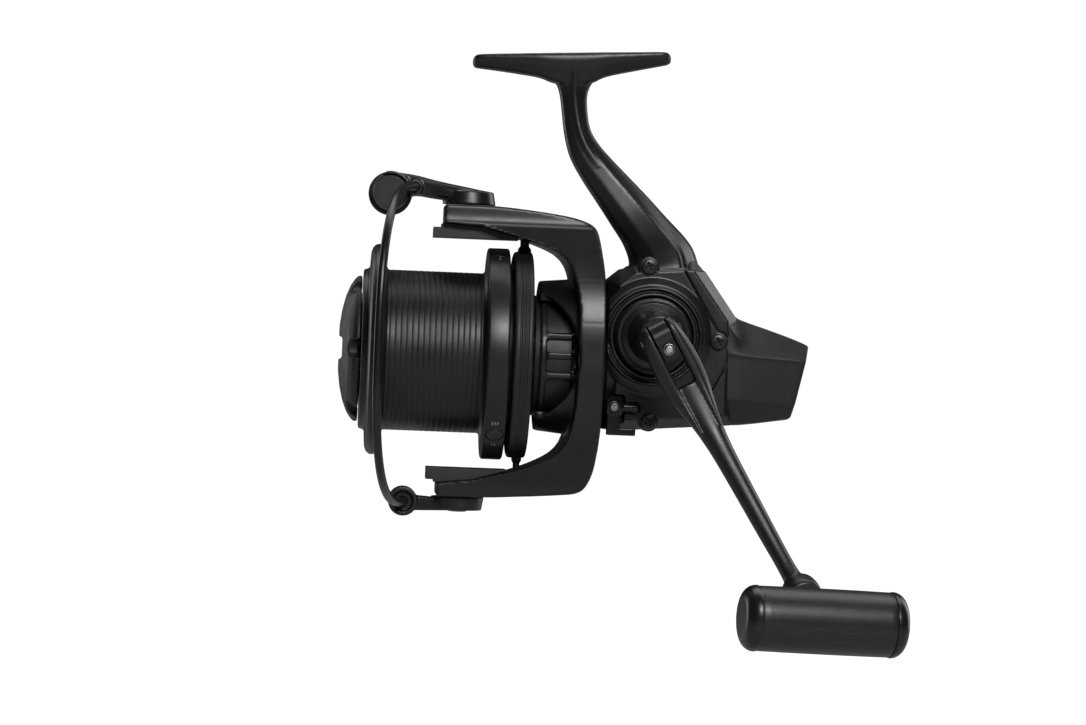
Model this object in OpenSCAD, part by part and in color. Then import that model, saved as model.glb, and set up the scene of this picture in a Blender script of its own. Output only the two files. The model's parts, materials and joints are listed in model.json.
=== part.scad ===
// Long-cast spinning reel, built as an assembly.
// The origin is the middle of the rod foot's top face.
// X runs back along the reel, Y runs away from the crank side, Z runs up.

/* [Frame] */
// depth of the spool axis below the rod foot
axis_drop = 108; // [90:1:125]
// forward lean of the rod foot in degrees
foot_lean = 3.1; // [0:0.1:6]
// width of the rod foot
foot_width = 16; // [12:0.5:20]
// half width of the gear housing
housing_half = 22; // [20:0.5:25]

/* [Drive] */
// distance of the crank axis behind the foot's middle
drive_back = 31; // [29:0.5:33]
// height of the crank axis above the spool axis
drive_up = 8.4; // [8:0.1:9]
// teeth on the drive gear
drive_teeth = 41; // [36:1:42]
// teeth on the pinion
pinion_teeth = 10; // [9:1:12]
// teeth on the idle gear and on the worm gear
train_teeth = 12; // [10:1:13]
// size of one gear tooth in millimetres of pitch radius per half tooth
gear_module = 0.75; // [0.6:0.05:0.8]

/* [Spool] */
// radius of the line arbor
arbor_radius = 28.5; // [24:0.5:30]
// radius of the front lip and the rear flange
flange_radius = 37.6; // [34:0.2:38]
// radius of the drag knob
knob_radius = 26; // [22:0.5:27]

/* [Rotor and bail] */
// distance of the bail pivots in front of the foot's middle
pivot_forward = 34.7; // [30:0.1:36]
// depth of the bail wire's bow
wire_bow = 67.3; // [66:0.1:70]
// thickness of the bail wire
wire_size = 3; // [2:0.1:3.5]

/* [Crank] */
// angle of the crank arm, from straight back
arm_angle = -60.2; // [-90:0.1:0]
// distance from the crank axis to the end boss
crank_reach = 97.6; // [90:0.1:105]
// distance of the fold pin from the reel's middle
pin_out = 60; // [58:1:64]
// distance of the end boss from the reel's middle
boss_out = 88.5; // [86:0.5:92]
// outward cant of the knob in degrees
knob_cant = 17; // [0:1:20]
// length of the wooden barrel
barrel_length = 46; // [35:1:55]
// radius of the wooden barrel
barrel_radius = 10.9; // [9:0.1:13]

/* [Hidden] */
$fn = 64;
paint = "#1c1c1d";
satin = "#2a2a2b";
steel = "#a9abae";
brass = "#b08d4a";
wood = "#2b211c";
shaft_radius = 2.25;
running = 0.05;
drive_drop = axis_drop - drive_up;
pinion_pitch = pinion_teeth * gear_module / 2;
train_pitch = train_teeth * gear_module / 2;
face_reach = pinion_pitch * drive_teeth / pinion_teeth;
idle_angle = -60;
worm_angle = -25;
idle_y = (pinion_pitch + train_pitch) * cos(idle_angle);
idle_up = (pinion_pitch + train_pitch) * sin(idle_angle);
worm_y = idle_y + 2 * train_pitch * cos(worm_angle);
worm_up = idle_up + 2 * train_pitch * sin(worm_angle);
pinion_phase = 180 + 180 / pinion_teeth;
pinion_slip = pinion_phase - idle_angle;
idle_phase = idle_angle + 180 - pinion_slip * pinion_teeth / train_teeth + 180 / train_teeth;
idle_slip = idle_phase - worm_angle;
worm_phase = worm_angle + 180 - idle_slip + 180 / train_teeth;
knob_rise = 28.2;
wire_back = -54.2;
clip_turns = [-19, -139, 101];
housing_outline = [[15, -25], [27, -24.7], [57.1, -22.2], [61, -21.9], [61, 15.8],
    [52.6, 26.5], [46.4, 36], [22.8, 34], [15, 27.5]];
housing_hollow = [[17.5, -22.2], [27, -22], [58.5, -19.4], [58.5, 10], [56, 13],
    [44, 29], [22, 29], [17.5, 23]];
cover_outline = [[14.9, -30], [57.5, -30], [52, -10.9], [59.3, 2.6], [57, 6], [40.7, 33.2],
    [14.9, 33.2]];
screw_spots = [[28.8, 32.9], [54.2, 7.4], [30.7, -21.6]];

// Places a shape drawn along z on the spool axis, facing forward, with x up.
module on_spool_axis() {
    translate([0, 0, -axis_drop])
        rotate([0, -90, 0])
            children();
}

// Places a shape drawn in the side view, z running out on the crank side.
module in_side_view() {
    translate([0, 0, -axis_drop])
        rotate([90, 0, 0])
            children();
}

// Places a shape on the crank axis, z running out on the crank side.
module on_crank_axis() {
    translate([drive_back, 0, -drive_drop])
        rotate([90, 0, 0])
            children();
}

// Places a shape on the crank, x along the arm and z outwards.
module on_crank() {
    on_crank_axis()
        rotate([0, 0, arm_angle])
            children();
}

// Places a shape on the knob's canted shaft.
module on_knob() {
    on_crank()
        translate([crank_reach, 0, boss_out])
            rotate([0, knob_cant, 0])
                children();
}

// Places a shape along the knob's barrel, z running along the barrel.
module on_barrel() {
    on_knob()
        translate([0, 0, knob_rise])
            rotate([0, 0, -arm_angle - 2.7])
                rotate([0, 90, 0])
                    children();
}

// Places a shape in front view on the spool axis: x is Y, y is Z, z is X.
module in_front_view(back) {
    translate([back, 0, -axis_drop])
        rotate([90, 0, 90])
            children();
}

// A turned ring between two radii.
module ring(outer, inner, height) {
    difference() {
        cylinder(r = outer, h = height);
        translate([0, 0, -1])
            cylinder(r = inner, h = height + 2);
    }
}

// A ball bearing as two races with a recessed shield between them.
module bearing(outer, inner, height) {
    middle = (outer + inner) / 2;
    difference() {
        ring(outer, inner, height);
        translate([0, 0, height - 0.4])
            ring(middle + 0.9, middle - 0.9, 1);
        translate([0, 0, -0.6])
            ring(middle + 0.9, middle - 0.9, 1);
    }
}

// A gear outline with straight-sided teeth; tooth zero points along x.
module gear_outline(teeth) {
    pitch = teeth * gear_module / 2;
    corners = [[-0.26, -0.95], [-0.11, 0.8], [0.11, 0.8], [0.26, -0.95]];
    points = [for (tooth = [0 : teeth - 1]) for (corner = corners)
        (pitch + corner[1] * gear_module)
        * [cos((tooth + corner[0]) * 360 / teeth), sin((tooth + corner[0]) * 360 / teeth)]];
    polygon(points);
}

// Skin of a loft: sections are lists of points of one length.
module loft(sections) {
    count = len(sections[0]);
    last = len(sections) - 1;
    points = [for (section = sections) for (point = section) point];
    sides = [for (i = [0 : last - 1]) for (j = [0 : count - 1]) let (k = (j + 1) % count)
        each [[i * count + j, i * count + k, (i + 1) * count + k],
            [i * count + j, (i + 1) * count + k, (i + 1) * count + j]]];
    start = [[for (j = [count - 1 : -1 : 0]) j]];
    finish = [[for (j = [0 : count - 1]) last * count + j]];
    polyhedron(points = points, faces = concat(start, sides, finish));
}

// A pan-head screw with a cross recess, head outwards from z = 0.
module cross_screw(head, height, shank, length) {
    difference() {
        union() {
            cylinder(r1 = head, r2 = head * 0.8, h = height);
            translate([0, 0, -length])
                cylinder(r = shank, h = length + 0.1);
        }
        for (turn = [20, 110])
            translate([0, 0, height])
                rotate([0, 0, turn])
                    cube([head * 1.1, head * 0.24, height * 1.1], center = true);
    }
}

// Point of a corner's easing curve, t from 0 to 1 between its two neighbours.
function corner_point(before, here, after, reach, t) = let (
    start = here + (before - here) * min(0.45, reach / norm(before - here)),
    end = here + (after - here) * min(0.45, reach / norm(after - here)))
    (1 - t) * (1 - t) * start + 2 * t * (1 - t) * here + t * t * end;

// Outline with its corners eased: each point is [x, y, reach].
function eased(points) = [for (i = [0 : len(points) - 1])
    let (here = [points[i][0], points[i][1]], reach = points[i][2],
        last = points[(i + len(points) - 1) % len(points)], next = points[(i + 1) % len(points)])
    each reach == 0 ? [here] : [for (t = [0 : 0.25 : 1])
        corner_point([last[0], last[1]], here, [next[0], next[1]], reach, t)]];

// Half section of the stem: front edge, flank, rear strip, as [along, across].
function stem_section(s) = [
    [-1, 0.3], [-0.3, 1], [0.5, 1], [0.56, 0.9], [0.92, 0.6], [1, 0.3],
    [1, -0.3], [0.92, -0.6], [0.56, -0.9], [0.5, -1], [-0.3, -1], [-1, -0.3]
][s];

// One station of the stem: middle x and z, half depth, half width, tilt.
function stem_ring(x, z, deep, wide, tilt) = [for (s = [0 : 11])
    let (point = stem_section(s))
    [x + point[0] * deep * cos(tilt), -point[1] * wide, z + point[0] * deep * sin(tilt)]];

module foot() {
    rotate([0, -foot_lean, 0])
        intersection() {
            rotate([90, 0, 0])
                translate([0, 0, -foot_width / 2])
                    linear_extrude(height = foot_width)
                        polygon([[-35.6, -2.6], [-34.8, -1], [-32.4, 0], [32.6, 0], [34.6, -1],
                            [35.1, -2.2], [34.9, -4], [10.6, -8.9], [7.6, -11], [5.6, -14.6],
                            [-4.6, -15], [-6.8, -11.2], [-10.7, -8.6], [-35.2, -4.6]]);
            translate([0, 0, -20])
                linear_extrude(height = 30)
                    polygon([[-35.7, -3.4], [-34.2, -5.4], [-12, -8], [12, -8], [33.8, -5.6],
                        [35.2, -3.6], [35.2, 3.6], [33.8, 5.6], [12, 8], [-12, 8], [-34.2, 5.4],
                        [-35.7, 3.4]]);
            rotate([90, 0, 90])
                translate([0, 0, -40])
                    linear_extrude(height = 80)
                        polygon([[-8, 1], [-8, -3.4], [-5.6, -9], [-4.8, -16], [4.8, -16],
                            [5.6, -9], [8, -3.4], [8, 1]]);
        }
}

module stem() {
    loft([
        stem_ring(0.9, -9, 5.6, 4.8, 0),
        stem_ring(0.9, -14.5, 4.9, 4.8, 0),
        stem_ring(1.6, -21, 4.6, 4.8, 3),
        stem_ring(2.9, -28, 4.8, 5, 12),
        stem_ring(5.6, -34.6, 5.8, 5.4, 24),
        stem_ring(10, -41, 6.9, 6, 32),
        stem_ring(15.7, -48, 7.9, 7, 36),
        stem_ring(22, -55.6, 8.9, 8.8, 37),
        stem_ring(28.1, -63.2, 9.8, 12.4, 35),
        stem_ring(33.2, -70.6, 11.8, 17.6, 20),
        stem_ring(34, -76.8, 12.4, 20.6, 2)
    ]);
}

// Outer form of the gear housing, chamfered all round, with its round nose.
module housing_form() {
    translate([8.5, 0, 0])
        rotate([0, 90, 0])
            cylinder(r = 23, h = 10.5);
    hull() {
        translate([0, 0, -housing_half + 6])
            linear_extrude(height = 2 * housing_half - 12)
                polygon(housing_outline);
        translate([0, 0, -housing_half])
            linear_extrude(height = 2 * housing_half)
                offset(delta = -3.6)
                    polygon(housing_outline);
    }
}

module body() {
    color(paint)
        difference() {
            union() {
                foot();
                housing_shell();
                on_crank_axis()
                    translate([0, 0, -19.6])
                        cylinder(r = 10.5, h = 6.6);
                inner_wall();
                for (spot = screw_spots)
                    in_side_view()
                        translate([spot[0], spot[1], -20.5])
                            cylinder(r = 3, h = 29.3);
            }
            // far crank bearing seat and dust cap thread
            on_crank_axis() {
                translate([0, 0, -19])
                    cylinder(r = 8.02, h = 4);
                translate([0, 0, -23])
                    cylinder(r = 7, h = 5);
                translate([0, 0, -16])
                    cylinder(r = 3.4, h = 5);
            }
            for (spot = screw_spots)
                in_side_view() {
                    translate([spot[0], spot[1], -6])
                        cylinder(r = 1.42, h = 30);
                    translate([spot[0], spot[1], 9])
                        cylinder(r = 3.6, h = 15);
                }
        }
}

// Housing wall with its nose, open on the crank side and behind.
module housing_shell() {
    difference() {
        union() {
            stem();
            in_side_view()
                housing_form();
        }
        in_side_view() {
            translate([0, 0, 9])
                linear_extrude(height = 30)
                    polygon(cover_outline);
            translate([0, 0, -19.5])
                linear_extrude(height = 30)
                    polygon(housing_hollow);
            translate([57, -18.2, -18])
                cube([6, 24, 24.5]);
            translate([60.9, -30, -30])
                cube([6, 60, 60]);
        }
        on_spool_axis()
            translate([0, 0, -12])
                cylinder(r = 7.02, h = 5);
        nose_hollow();
        gear_pocket();
    }
}

// Round hollow behind the nose.
module nose_hollow() {
    on_spool_axis()
        translate([0, 0, -17.6])
            cylinder(r = 21.4, h = 6.4);
}

// Room for the rim of the drive gear.
module gear_pocket() {
    on_crank_axis()
        translate([0, 0, 3])
            cylinder(r = 19.7, h = 6.8);
}

// Wall behind the pinion that carries the pinion, idle gear, worm and rod.
module inner_wall() {
    difference() {
        in_front_view(25.6) {
            translate([-2.6, -22.4, 0])
                cube([22.4, 26.6, 2.8]);
            cylinder(r = 5.8, h = 2.8);
        }
        in_front_view(20)
            cylinder(r = 4.32, h = 12);
        in_front_view(20)
            translate([idle_y, idle_up, 0])
                cylinder(r = 1.22, h = 12);
        in_front_view(20)
            translate([worm_y, worm_up, 0])
                cylinder(r = 3.52, h = 12);
        in_front_view(20)
            translate([2.5, -12.5, 0])
                cylinder(r = 1.52, h = 12);
    }
}

module side_cover() {
    color(paint)
        difference() {
            union() {
                difference() {
                    intersection() {
                        in_side_view()
                            housing_form();
                        in_side_view()
                            translate([0, 0, 9.15])
                                linear_extrude(height = 20)
                                    offset(delta = -0.12)
                                        polygon(cover_outline);
                    }
                    in_side_view()
                        translate([0, 0, 8])
                            linear_extrude(height = 10)
                                polygon(housing_hollow);
                    nose_hollow();
                    gear_pocket();
                }
                on_crank_axis()
                    translate([0, 0, 13])
                        cylinder(r = 10.5, h = 7);
                collar_rings();
                for (spot = screw_spots)
                    in_side_view()
                        translate([spot[0], spot[1], 9.2])
                            cylinder(r = 3.5, h = 12.8);
            }
            on_crank_axis()
                translate([0, 0, 14.98])
                    cylinder(r = 8.02, h = 4.04);
            on_crank_axis()
                cylinder(r = 7.4, h = 40);
            for (spot = screw_spots)
                in_side_view() {
                    translate([spot[0], spot[1], 5])
                        cylinder(r = 1.7, h = 30);
                    translate([spot[0], spot[1], 22])
                        cylinder(r = 3.1, h = 10);
                }
            // pocket for the reverse lever
            in_side_view()
                translate([10, -27, 19.6])
                    cube([11.9, 14.4, 10]);
            in_side_view()
                translate([21.5, -16.9, 23])
                    rotate([0, 90, 0])
                        cylinder(r = 2.1, h = 5.8);
        }
}

// Stepped rings around the crank, cut off at the housing's front face.
module collar_rings() {
    intersection() {
        on_crank_axis()
            rotate_extrude()
                polygon([[7.4, 19], [20.2, 19], [20.2, 22.4], [18.2, 23.7], [17.4, 23.7],
                    [17.2, 25], [16.4, 25], [16.2, 23.4], [15.4, 23.4], [15.2, 24.4],
                    [14.2, 24.4], [13.9, 22.9], [7.4, 22.9]]);
        translate([15, -40, -160])
            cube([60, 80, 100]);
    }
}

module rear_cover() {
    color(paint)
        difference() {
            union() {
                difference() {
                    intersection() {
                        hull() {
                            rear_slab(61.2, 62, 21.4, 15.2, -21.9, 5);
                            rear_slab(74, 75, 19.4, 10.6, -20.4, 4.4);
                            rear_slab(87, 88, 17.4, 5.8, -18.8, 4);
                        }
                        in_side_view()
                            translate([0, 0, -30])
                                linear_extrude(height = 60)
                                    polygon([[60, -24], [80.6, -24], [82.8, -18.2], [87.7, 4.6],
                                        [87, 6.6], [83, 20], [60, 20]]);
                    }
                    hull() {
                        rear_slab(60, 61, 19.2, 12.8, -19.5, 4);
                        rear_slab(79, 80, 17.3, 6, -17.6, 3);
                    }
                }
                // rear post for the worm and the rod
                in_front_view(72.5)
                    translate([-2, -19.4, 0])
                        cube([20.4, 14.5, 3.5]);
            }
            in_front_view(70)
                translate([worm_y, worm_up, 0])
                    cylinder(r = 3.52, h = 5.8);
            in_front_view(70)
                translate([2.5, -12.5, 0])
                    cylinder(r = 1.52, h = 5);
        }
}

// A cross slice of the rear block with chamfered corners.
module rear_slab(from, to, half, top, bottom, cut) {
    in_front_view(from)
        linear_extrude(height = to - from)
            polygon([[-half, bottom + cut], [-half + cut, bottom], [half - cut, bottom],
                [half, bottom + cut], [half, top - cut], [half - cut, top],
                [-half + cut, top], [-half, top - cut]]);
}

module body_screws() {
    color(satin)
        for (spot = screw_spots)
            in_side_view()
                translate([spot[0], spot[1], 22.05])
                    cross_screw(2.8, 1.7, 1.4, 26);
}

module dust_cap() {
    color(satin)
        on_crank_axis()
            difference() {
                union() {
                    translate([0, 0, -24.2])
                        cylinder(r1 = 8, r2 = 9, h = 2.1);
                    translate([0, 0, -22.2])
                        cylinder(r = 6.9, h = 2.8);
                }
                translate([0, 0, -24.2])
                    cube([12, 1.6, 1.6], center = true);
            }
}

module reverse_lever() {
    color(satin) {
        in_side_view()
            difference() {
                union() {
                    translate([15.4, -16.9, 23])
                        rotate([0, 90, 0])
                            cylinder(r = 3.1, h = 5.6);
                    translate([15.8, -26.8, 21])
                        cube([4.6, 10, 4.4]);
                    translate([15.8, -26.8, 21])
                        cube([10.2, 2.6, 4.4]);
                    translate([20.8, -16.9, 23])
                        rotate([0, 90, 0])
                            cylinder(r = 1.8, h = 6);
                    translate([18.2, -16.9, 23])
                        cylinder(r = 2.3, h = 3.2);
                }
                translate([18.2, -16.9, 24])
                    cylinder(r = 0.92, h = 4);
            }
    }
}

module lever_screw() {
    color(steel)
        in_side_view()
            translate([18.2, -16.9, 26.22])
                cross_screw(1.6, 0.9, 0.9, 2);
}

module drive_gear() {
    color(brass)
        on_crank_axis() {
            translate([0, 0, -18.6])
                cylinder(r = 3, h = 39.6);
            difference() {
                translate([0, 0, 6])
                    cylinder(r = 19.2, h = 3.2);
                for (turn = [0 : 60 : 300])
                    rotate([0, 0, turn])
                        translate([11, 0, 5])
                            cylinder(r = 3.4, h = 6);
            }
            translate([0, 0, 6])
                ring(6, 2.9, 8.6);
            for (tooth = [0 : drive_teeth - 1])
                rotate([0, 0, tooth * 360 / drive_teeth])
                    translate([-face_reach - 1.5, -drive_up - 0.36, 3.4])
                        cube([3, 0.72, 2.7]);
        }
}

module drive_bearings() {
    color(steel)
        for (depth = [-19, 15])
            on_crank_axis()
                translate([0, 0, depth])
                    bearing(8, 3.05, 3.98);
}

module pinion_gear() {
    color(brass)
        difference() {
            union() {
                in_front_view(12.8)
                    rotate([0, 0, pinion_phase])
                        linear_extrude(height = 12.4)
                            gear_outline(pinion_teeth);
                in_front_view(25)
                    cylinder(r = 2.95, h = 3.6);
                on_spool_axis()
                    translate([0, 0, -13])
                        cylinder(r = 3.4, h = 25);
            }
            in_front_view(-20)
                cylinder(r = shaft_radius + running, h = 60);
        }
}

module pinion_bearings() {
    color(steel) {
        on_spool_axis()
            translate([0, 0, -11.4])
                bearing(7, 3.45, 2.9);
        in_front_view(25.6)
            ring(4.3, 3, 2.8);
    }
}

module clutch_ring() {
    color(steel)
        on_spool_axis()
            difference() {
                translate([0, 0, -8.4])
                    cylinder(r = 12, h = 2.8);
                translate([0, 0, -9])
                    cylinder(r = 5.6, h = 4);
                for (turn = [30 : 60 : 330])
                    rotate([0, 0, turn])
                        translate([9.2, 0, -6.6])
                            cylinder(r = 1.1, h = 2);
            }
}

module clutch_sleeve() {
    color(steel)
        on_spool_axis()
            translate([0, 0, -8.2])
                ring(5.25, 3.42, 2.9);
}

module idle_gear() {
    color(brass)
        in_front_view(20.8)
            translate([idle_y, idle_up, 0]) {
                rotate([0, 0, idle_phase])
                    linear_extrude(height = 3.4)
                        gear_outline(train_teeth);
                cylinder(r = 1.17, h = 7.4);
            }
}

module worm_shaft() {
    color(steel)
        in_front_view(20.8)
            translate([worm_y, worm_up, 0]) {
                rotate([0, 0, worm_phase])
                    linear_extrude(height = 3.4)
                        gear_outline(train_teeth);
                cylinder(r = 1.98, h = 54.6);
                difference() {
                    translate([0, 0, 8.2])
                        cylinder(r = 3.2, h = 43);
                    for (step = [0 : 6])
                        for (lean = [-24, 24])
                            translate([0, 0, 11.5 + step * 6])
                                rotate([lean, 0, 0])
                                    ring(6, 2.5, 1.1);
                }
            }
}

module worm_bearings() {
    color(brass) {
        in_front_view(25.6)
            translate([worm_y, worm_up, 0])
                ring(3.5, 2.04, 2.8);
        in_front_view(72.5)
            translate([worm_y, worm_up, 0])
                ring(3.5, 2.04, 2.6);
    }
}

module slider() {
    color(brass)
        difference() {
            in_front_view(62.5)
                linear_extrude(height = 7)
                    hull() {
                        circle(r = 4.1);
                        translate([2.5, -12.5])
                            circle(r = 3.2);
                        translate([worm_y, worm_up])
                            circle(r = 4.6);
                    }
            in_front_view(60)
                cylinder(r = shaft_radius + 0.02, h = 12);
            in_front_view(60)
                translate([-9.05, -10, 0])
                    cube([6, 20, 12]);
            in_front_view(60)
                translate([worm_y, worm_up, 0])
                    cylinder(r = 3.55, h = 12);
            in_front_view(60)
                translate([2.5, -12.5, 0])
                    cylinder(r = 1.56, h = 12);
            in_front_view(66)
                translate([worm_y, worm_up, 0])
                    rotate([90, 0, 180])
                        cylinder(r = 1.22, h = 8);
        }
}

module slider_pawl() {
    color(steel)
        in_front_view(66)
            translate([worm_y, worm_up, 0])
                rotate([90, 0, 180])
                    translate([0, 0, 3.6])
                        cylinder(r = 1.2, h = 1.4);
}

module guide_rod() {
    color(steel)
        in_front_view(25.8)
            translate([2.5, -12.5, 0])
                cylinder(r = 1.5, h = 49);
}

module main_shaft() {
    color(steel)
        on_spool_axis()
            translate([0, 0, -71])
                cylinder(r = shaft_radius, h = 147);
}

// Side view of the rotor's two arms joined behind the bell.
module rotor_frame_outline() {
    polygon(eased([[-43.5, 45.6, 0], [-43.5, 52.4, 0.8], [-25, 52.4, 8], [-8.5, 50.9, 8],
        [3.4, 49.2, 5], [10.6, 46.4, 3.4], [12, 40, 7], [13.8, 28, 10], [14, 0, 14],
        [13.8, -28, 10], [12.2, -42, 5], [8.8, -48.4, 4.5], [-4, -49.6, 6], [-25, -51, 6],
        [-42.8, -51, 0.8], [-42.8, -46.4, 0], [-30, -44.8, 0], [-12.6, -40.4, 9], [1.2, -33.6, 7],
        [4.4, -22, 8], [5, 0, 14], [4.4, 22, 8], [0.6, 35.4, 7], [-14, 40.9, 9], [-30, 44.8, 0]]));
}

// Front view that the rotor's frame stays within.
module rotor_front_outline() {
    polygon([[-11, 54], [11, 54], [12.5, 46], [17, 41], [26, 27], [30.5, 12], [30.5, -12],
        [26, -27], [17, -41], [12.5, -46], [11, -54], [-11, -54], [-12.5, -46], [-17, -41],
        [-26, -27], [-30.5, -12], [-30.5, 12], [-26, 27], [-17, 41], [-12.5, 46]]);
}

module rotor() {
    color(paint)
        difference() {
            union() {
                intersection() {
                    in_side_view()
                        translate([0, 0, -32])
                            linear_extrude(height = 64)
                                rotor_frame_outline();
                    in_front_view(-60)
                        linear_extrude(height = 90)
                            rotor_front_outline();
                }
                on_spool_axis()
                    translate([0, 0, -13.8])
                        cylinder(r1 = 28.8, r2 = 26.6, h = 22.6);
                bail_post(52, 1);
                bail_post(-50.6, -1);
            }
            on_spool_axis()
                translate([0, 0, -15])
                    cylinder(r = 24.8, h = 9.8);
            // front hollow of the bell around the hub
            on_spool_axis()
                translate([0, 0, -3])
                    ring(24.4, 10, 14);
            // side windows
            for (side = [-45, 15])
                translate([-19.6, side, -axis_drop])
                    rotate([-90, 0, 0])
                        cylinder(r = 25, h = 30);
            on_spool_axis()
                translate([0, 0, -8])
                    cylinder(r = 3.42, h = 20);
            // sockets under the arm covers
            in_side_view()
                translate([-40, 43, -7])
                    cube([24, 5.2, 14]);
            in_side_view()
                translate([-39.4, -48.8, -7])
                    cube([24, 5.2, 14]);
            // feet of the guard ring's posts
            translate([-14.3, 0, -axis_drop])
                cylinder(r = 1.62, h = 45);
            translate([-14.3, 0, -axis_drop - 44])
                cylinder(r = 1.22, h = 44);
        }
    color(paint)
        on_spool_axis() {
            difference() {
                for (level = [6, -1, -8])
                    translate([level, -22, -3.1])
                        cube([2.4, 44, 9.2]);
                translate([0, 0, -8])
                    cylinder(r = 9.8, h = 20);
            }
            translate([0, 0, 6])
                ring(23, 9.9, 2.4);
        }
}

// Stud that a bail lever turns on, with its screw hole.
module bail_post(level, way) {
    translate([-pivot_forward, 0, -axis_drop + level])
        rotate([way > 0 ? 0 : 180, 0, 0])
            difference() {
                cylinder(r = 3, h = 5);
                translate([0, 0, 1])
                    cylinder(r = 1.02, h = 5);
            }
}

module rotor_nut() {
    color(steel)
        on_spool_axis()
            difference() {
                translate([0, 0, 8.9])
                    cylinder(r = 6.4, h = 3.6, $fn = 6);
                translate([0, 0, 8])
                    cylinder(r = 3.42, h = 6);
            }
}

module guard_ring() {
    color(paint) {
        on_spool_axis()
            rotate_extrude()
                polygon([[32.4, 11.4], [36.2, 11.4], [36.7, 12], [36.7, 14.2], [36.3, 14.5],
                    [36.3, 14.9], [36.7, 15.2], [36.7, 17.2], [36, 18.3], [32.4, 18.3]]);
        translate([-14.3, 0, -axis_drop + 35])
            cylinder(r = 1.6, h = 9);
        translate([-14.3, 0, -axis_drop - 43])
            cylinder(r = 1.2, h = 8);
    }
}

module arm_covers() {
    color(satin) {
        arm_cover([[-47, 40.6], [-47, 44.2], [-44.2, 44.2], [-44.2, 45.5], [-43.5, 45.5],
            [-30, 44.7], [-17, 41.45], [-16.8, 40.6]]);
        arm_cover([[-46.4, -41], [-46.4, -45.2], [-43.6, -45.2], [-43.6, -46.2],
            [-42.8, -46.2], [-30, -44.7], [-18, -41.25], [-18, -41]]);
    }
}

// One inner cover plate, from its side outline.
module arm_cover(outline) {
    in_side_view()
        difference() {
            translate([0, 0, -8.4])
                linear_extrude(height = 16.8)
                    polygon(outline);
            translate([-14.3, 0, 0])
                rotate([90, 0, 0])
                    translate([0, 0, -60])
                        cylinder(r = 2.2, h = 120);
        }
}

module bail_arm() {
    color(paint)
        difference() {
            union() {
                translate([-pivot_forward, 0, -axis_drop + 52.6])
                    cylinder(r1 = 9.5, r2 = 8.6, h = 4.8);
                hull() {
                    translate([-pivot_forward - 2, -7, -axis_drop + 54.6])
                        cube([4, 14, 3.2]);
                    translate([-48, -4.6, -axis_drop + 55.2])
                        cube([2, 9.2, 4.6]);
                }
                hull() {
                    translate([-48, -4.6, -axis_drop + 55.2])
                        cube([2, 9.2, 4.6]);
                    translate([-58.5, -3, -axis_drop + 56])
                        cube([3, 9, 6.4]);
                }
                translate([-62.8, 6, -axis_drop + 55.7])
                    rotate([90, 0, 0])
                        cylinder(r = 7.8, h = 3.4);
                translate([-62.8, 5, -axis_drop + 55.7])
                    rotate([90, 0, 0])
                        intersection() {
                            ring(7.8, 6.6, 9);
                            translate([-2, -1, -1])
                                cube([20, 20, 12]);
                        }
                // socket that holds the end of the wire
                translate([wire_back, 2, -axis_drop + 57.9])
                    rotate([90, 0, 0])
                        cylinder(r = 2.7, h = 9.6);
            }
            translate([-pivot_forward, 0, -axis_drop + 50])
                cylinder(r = 3.05, h = 12);
            translate([-pivot_forward, 0, -axis_drop + 56.6])
                cylinder(r = 4.5, h = 6);
            // room for the roller and its cap
            translate([-62.8, 2.6, -axis_drop + 55.7])
                rotate([90, 0, 0])
                    cylinder(r = 6.4, h = 12);
            translate([-62.8, 8, -axis_drop + 55.7])
                rotate([90, 0, 0])
                    cylinder(r = 1.32, h = 8);
            wire_end_hole(57.9);
        }
}

// Blind hole along the start of the wire.
module wire_end_hole(level) {
    translate([wire_back, -9, -axis_drop + level])
        rotate([-90, 0, 0])
            cylinder(r = wire_size / 2 + 0.02, h = 6);
}

module bail_holder() {
    color(paint)
        difference() {
            union() {
                translate([-pivot_forward, 0, -axis_drop - 56])
                    cylinder(r1 = 8.6, r2 = 9.4, h = 4.8);
                hull() {
                    translate([-pivot_forward - 2, -6.6, -axis_drop - 56])
                        cube([4, 13.2, 3.4]);
                    translate([-51.5, -4.4, -axis_drop - 56.6])
                        cube([2, 8.8, 5.2]);
                }
                translate([wire_back, 4, -axis_drop - 53.4])
                    rotate([90, 0, 0])
                        cylinder(r = 5.2, h = 11.4);
            }
            translate([-pivot_forward, 0, -axis_drop - 58])
                cylinder(r = 3.05, h = 12);
            translate([-pivot_forward, 0, -axis_drop - 58])
                cylinder(r = 4.5, h = 2.8);
            wire_end_hole(-53.4);
            translate([wire_back, -6.4, -axis_drop - 53.4])
                rotate([90, 0, 0])
                    cylinder(r = 3.6, h = 4);
        }
}

// Middle line of the bail wire: height h from -1 to 1 gives [x, y, z].
function wire_point(h) = let (bow = pow(max(0, 1 - pow(abs(h), 2.8)), 1 / 2.8))
    [wire_back - 11.7 * bow, -8 - wire_bow * bow + 0.001 * h, -axis_drop + 2.25 + 55.65 * h];

// One round section of the wire at point p facing direction d.
function wire_section(p, d) = let (
    ahead = d / norm(d),
    side = cross(ahead, [0.9866, -0.1632, 0]) / norm(cross(ahead, [0.9866, -0.1632, 0])),
    up = cross(side, ahead))
    [for (s = [0 : 11]) p + wire_size / 2 * (cos(s * 30) * side + sin(s * 30) * up)];

module bail_wire() {
    steps = 44;
    heights = [for (i = [0 : steps]) sin(-90 + 180 * i / steps)];
    line = [for (h = heights) wire_point(h)];
    way = [for (i = [0 : steps]) line[min(i + 1, steps)] - line[max(i - 1, 0)]];
    color(paint) {
        loft([for (i = [0 : steps])
            wire_section(line[i], i == 0 ? [0, -1, 0] : i == steps ? [0, 1, 0] : way[i])]);
        for (level = [57.9, -53.4])
            translate([wire_back, -3.6, -axis_drop + level])
                rotate([90, 0, 0])
                    cylinder(r = wire_size / 2, h = 4.6);
    }
}

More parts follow.
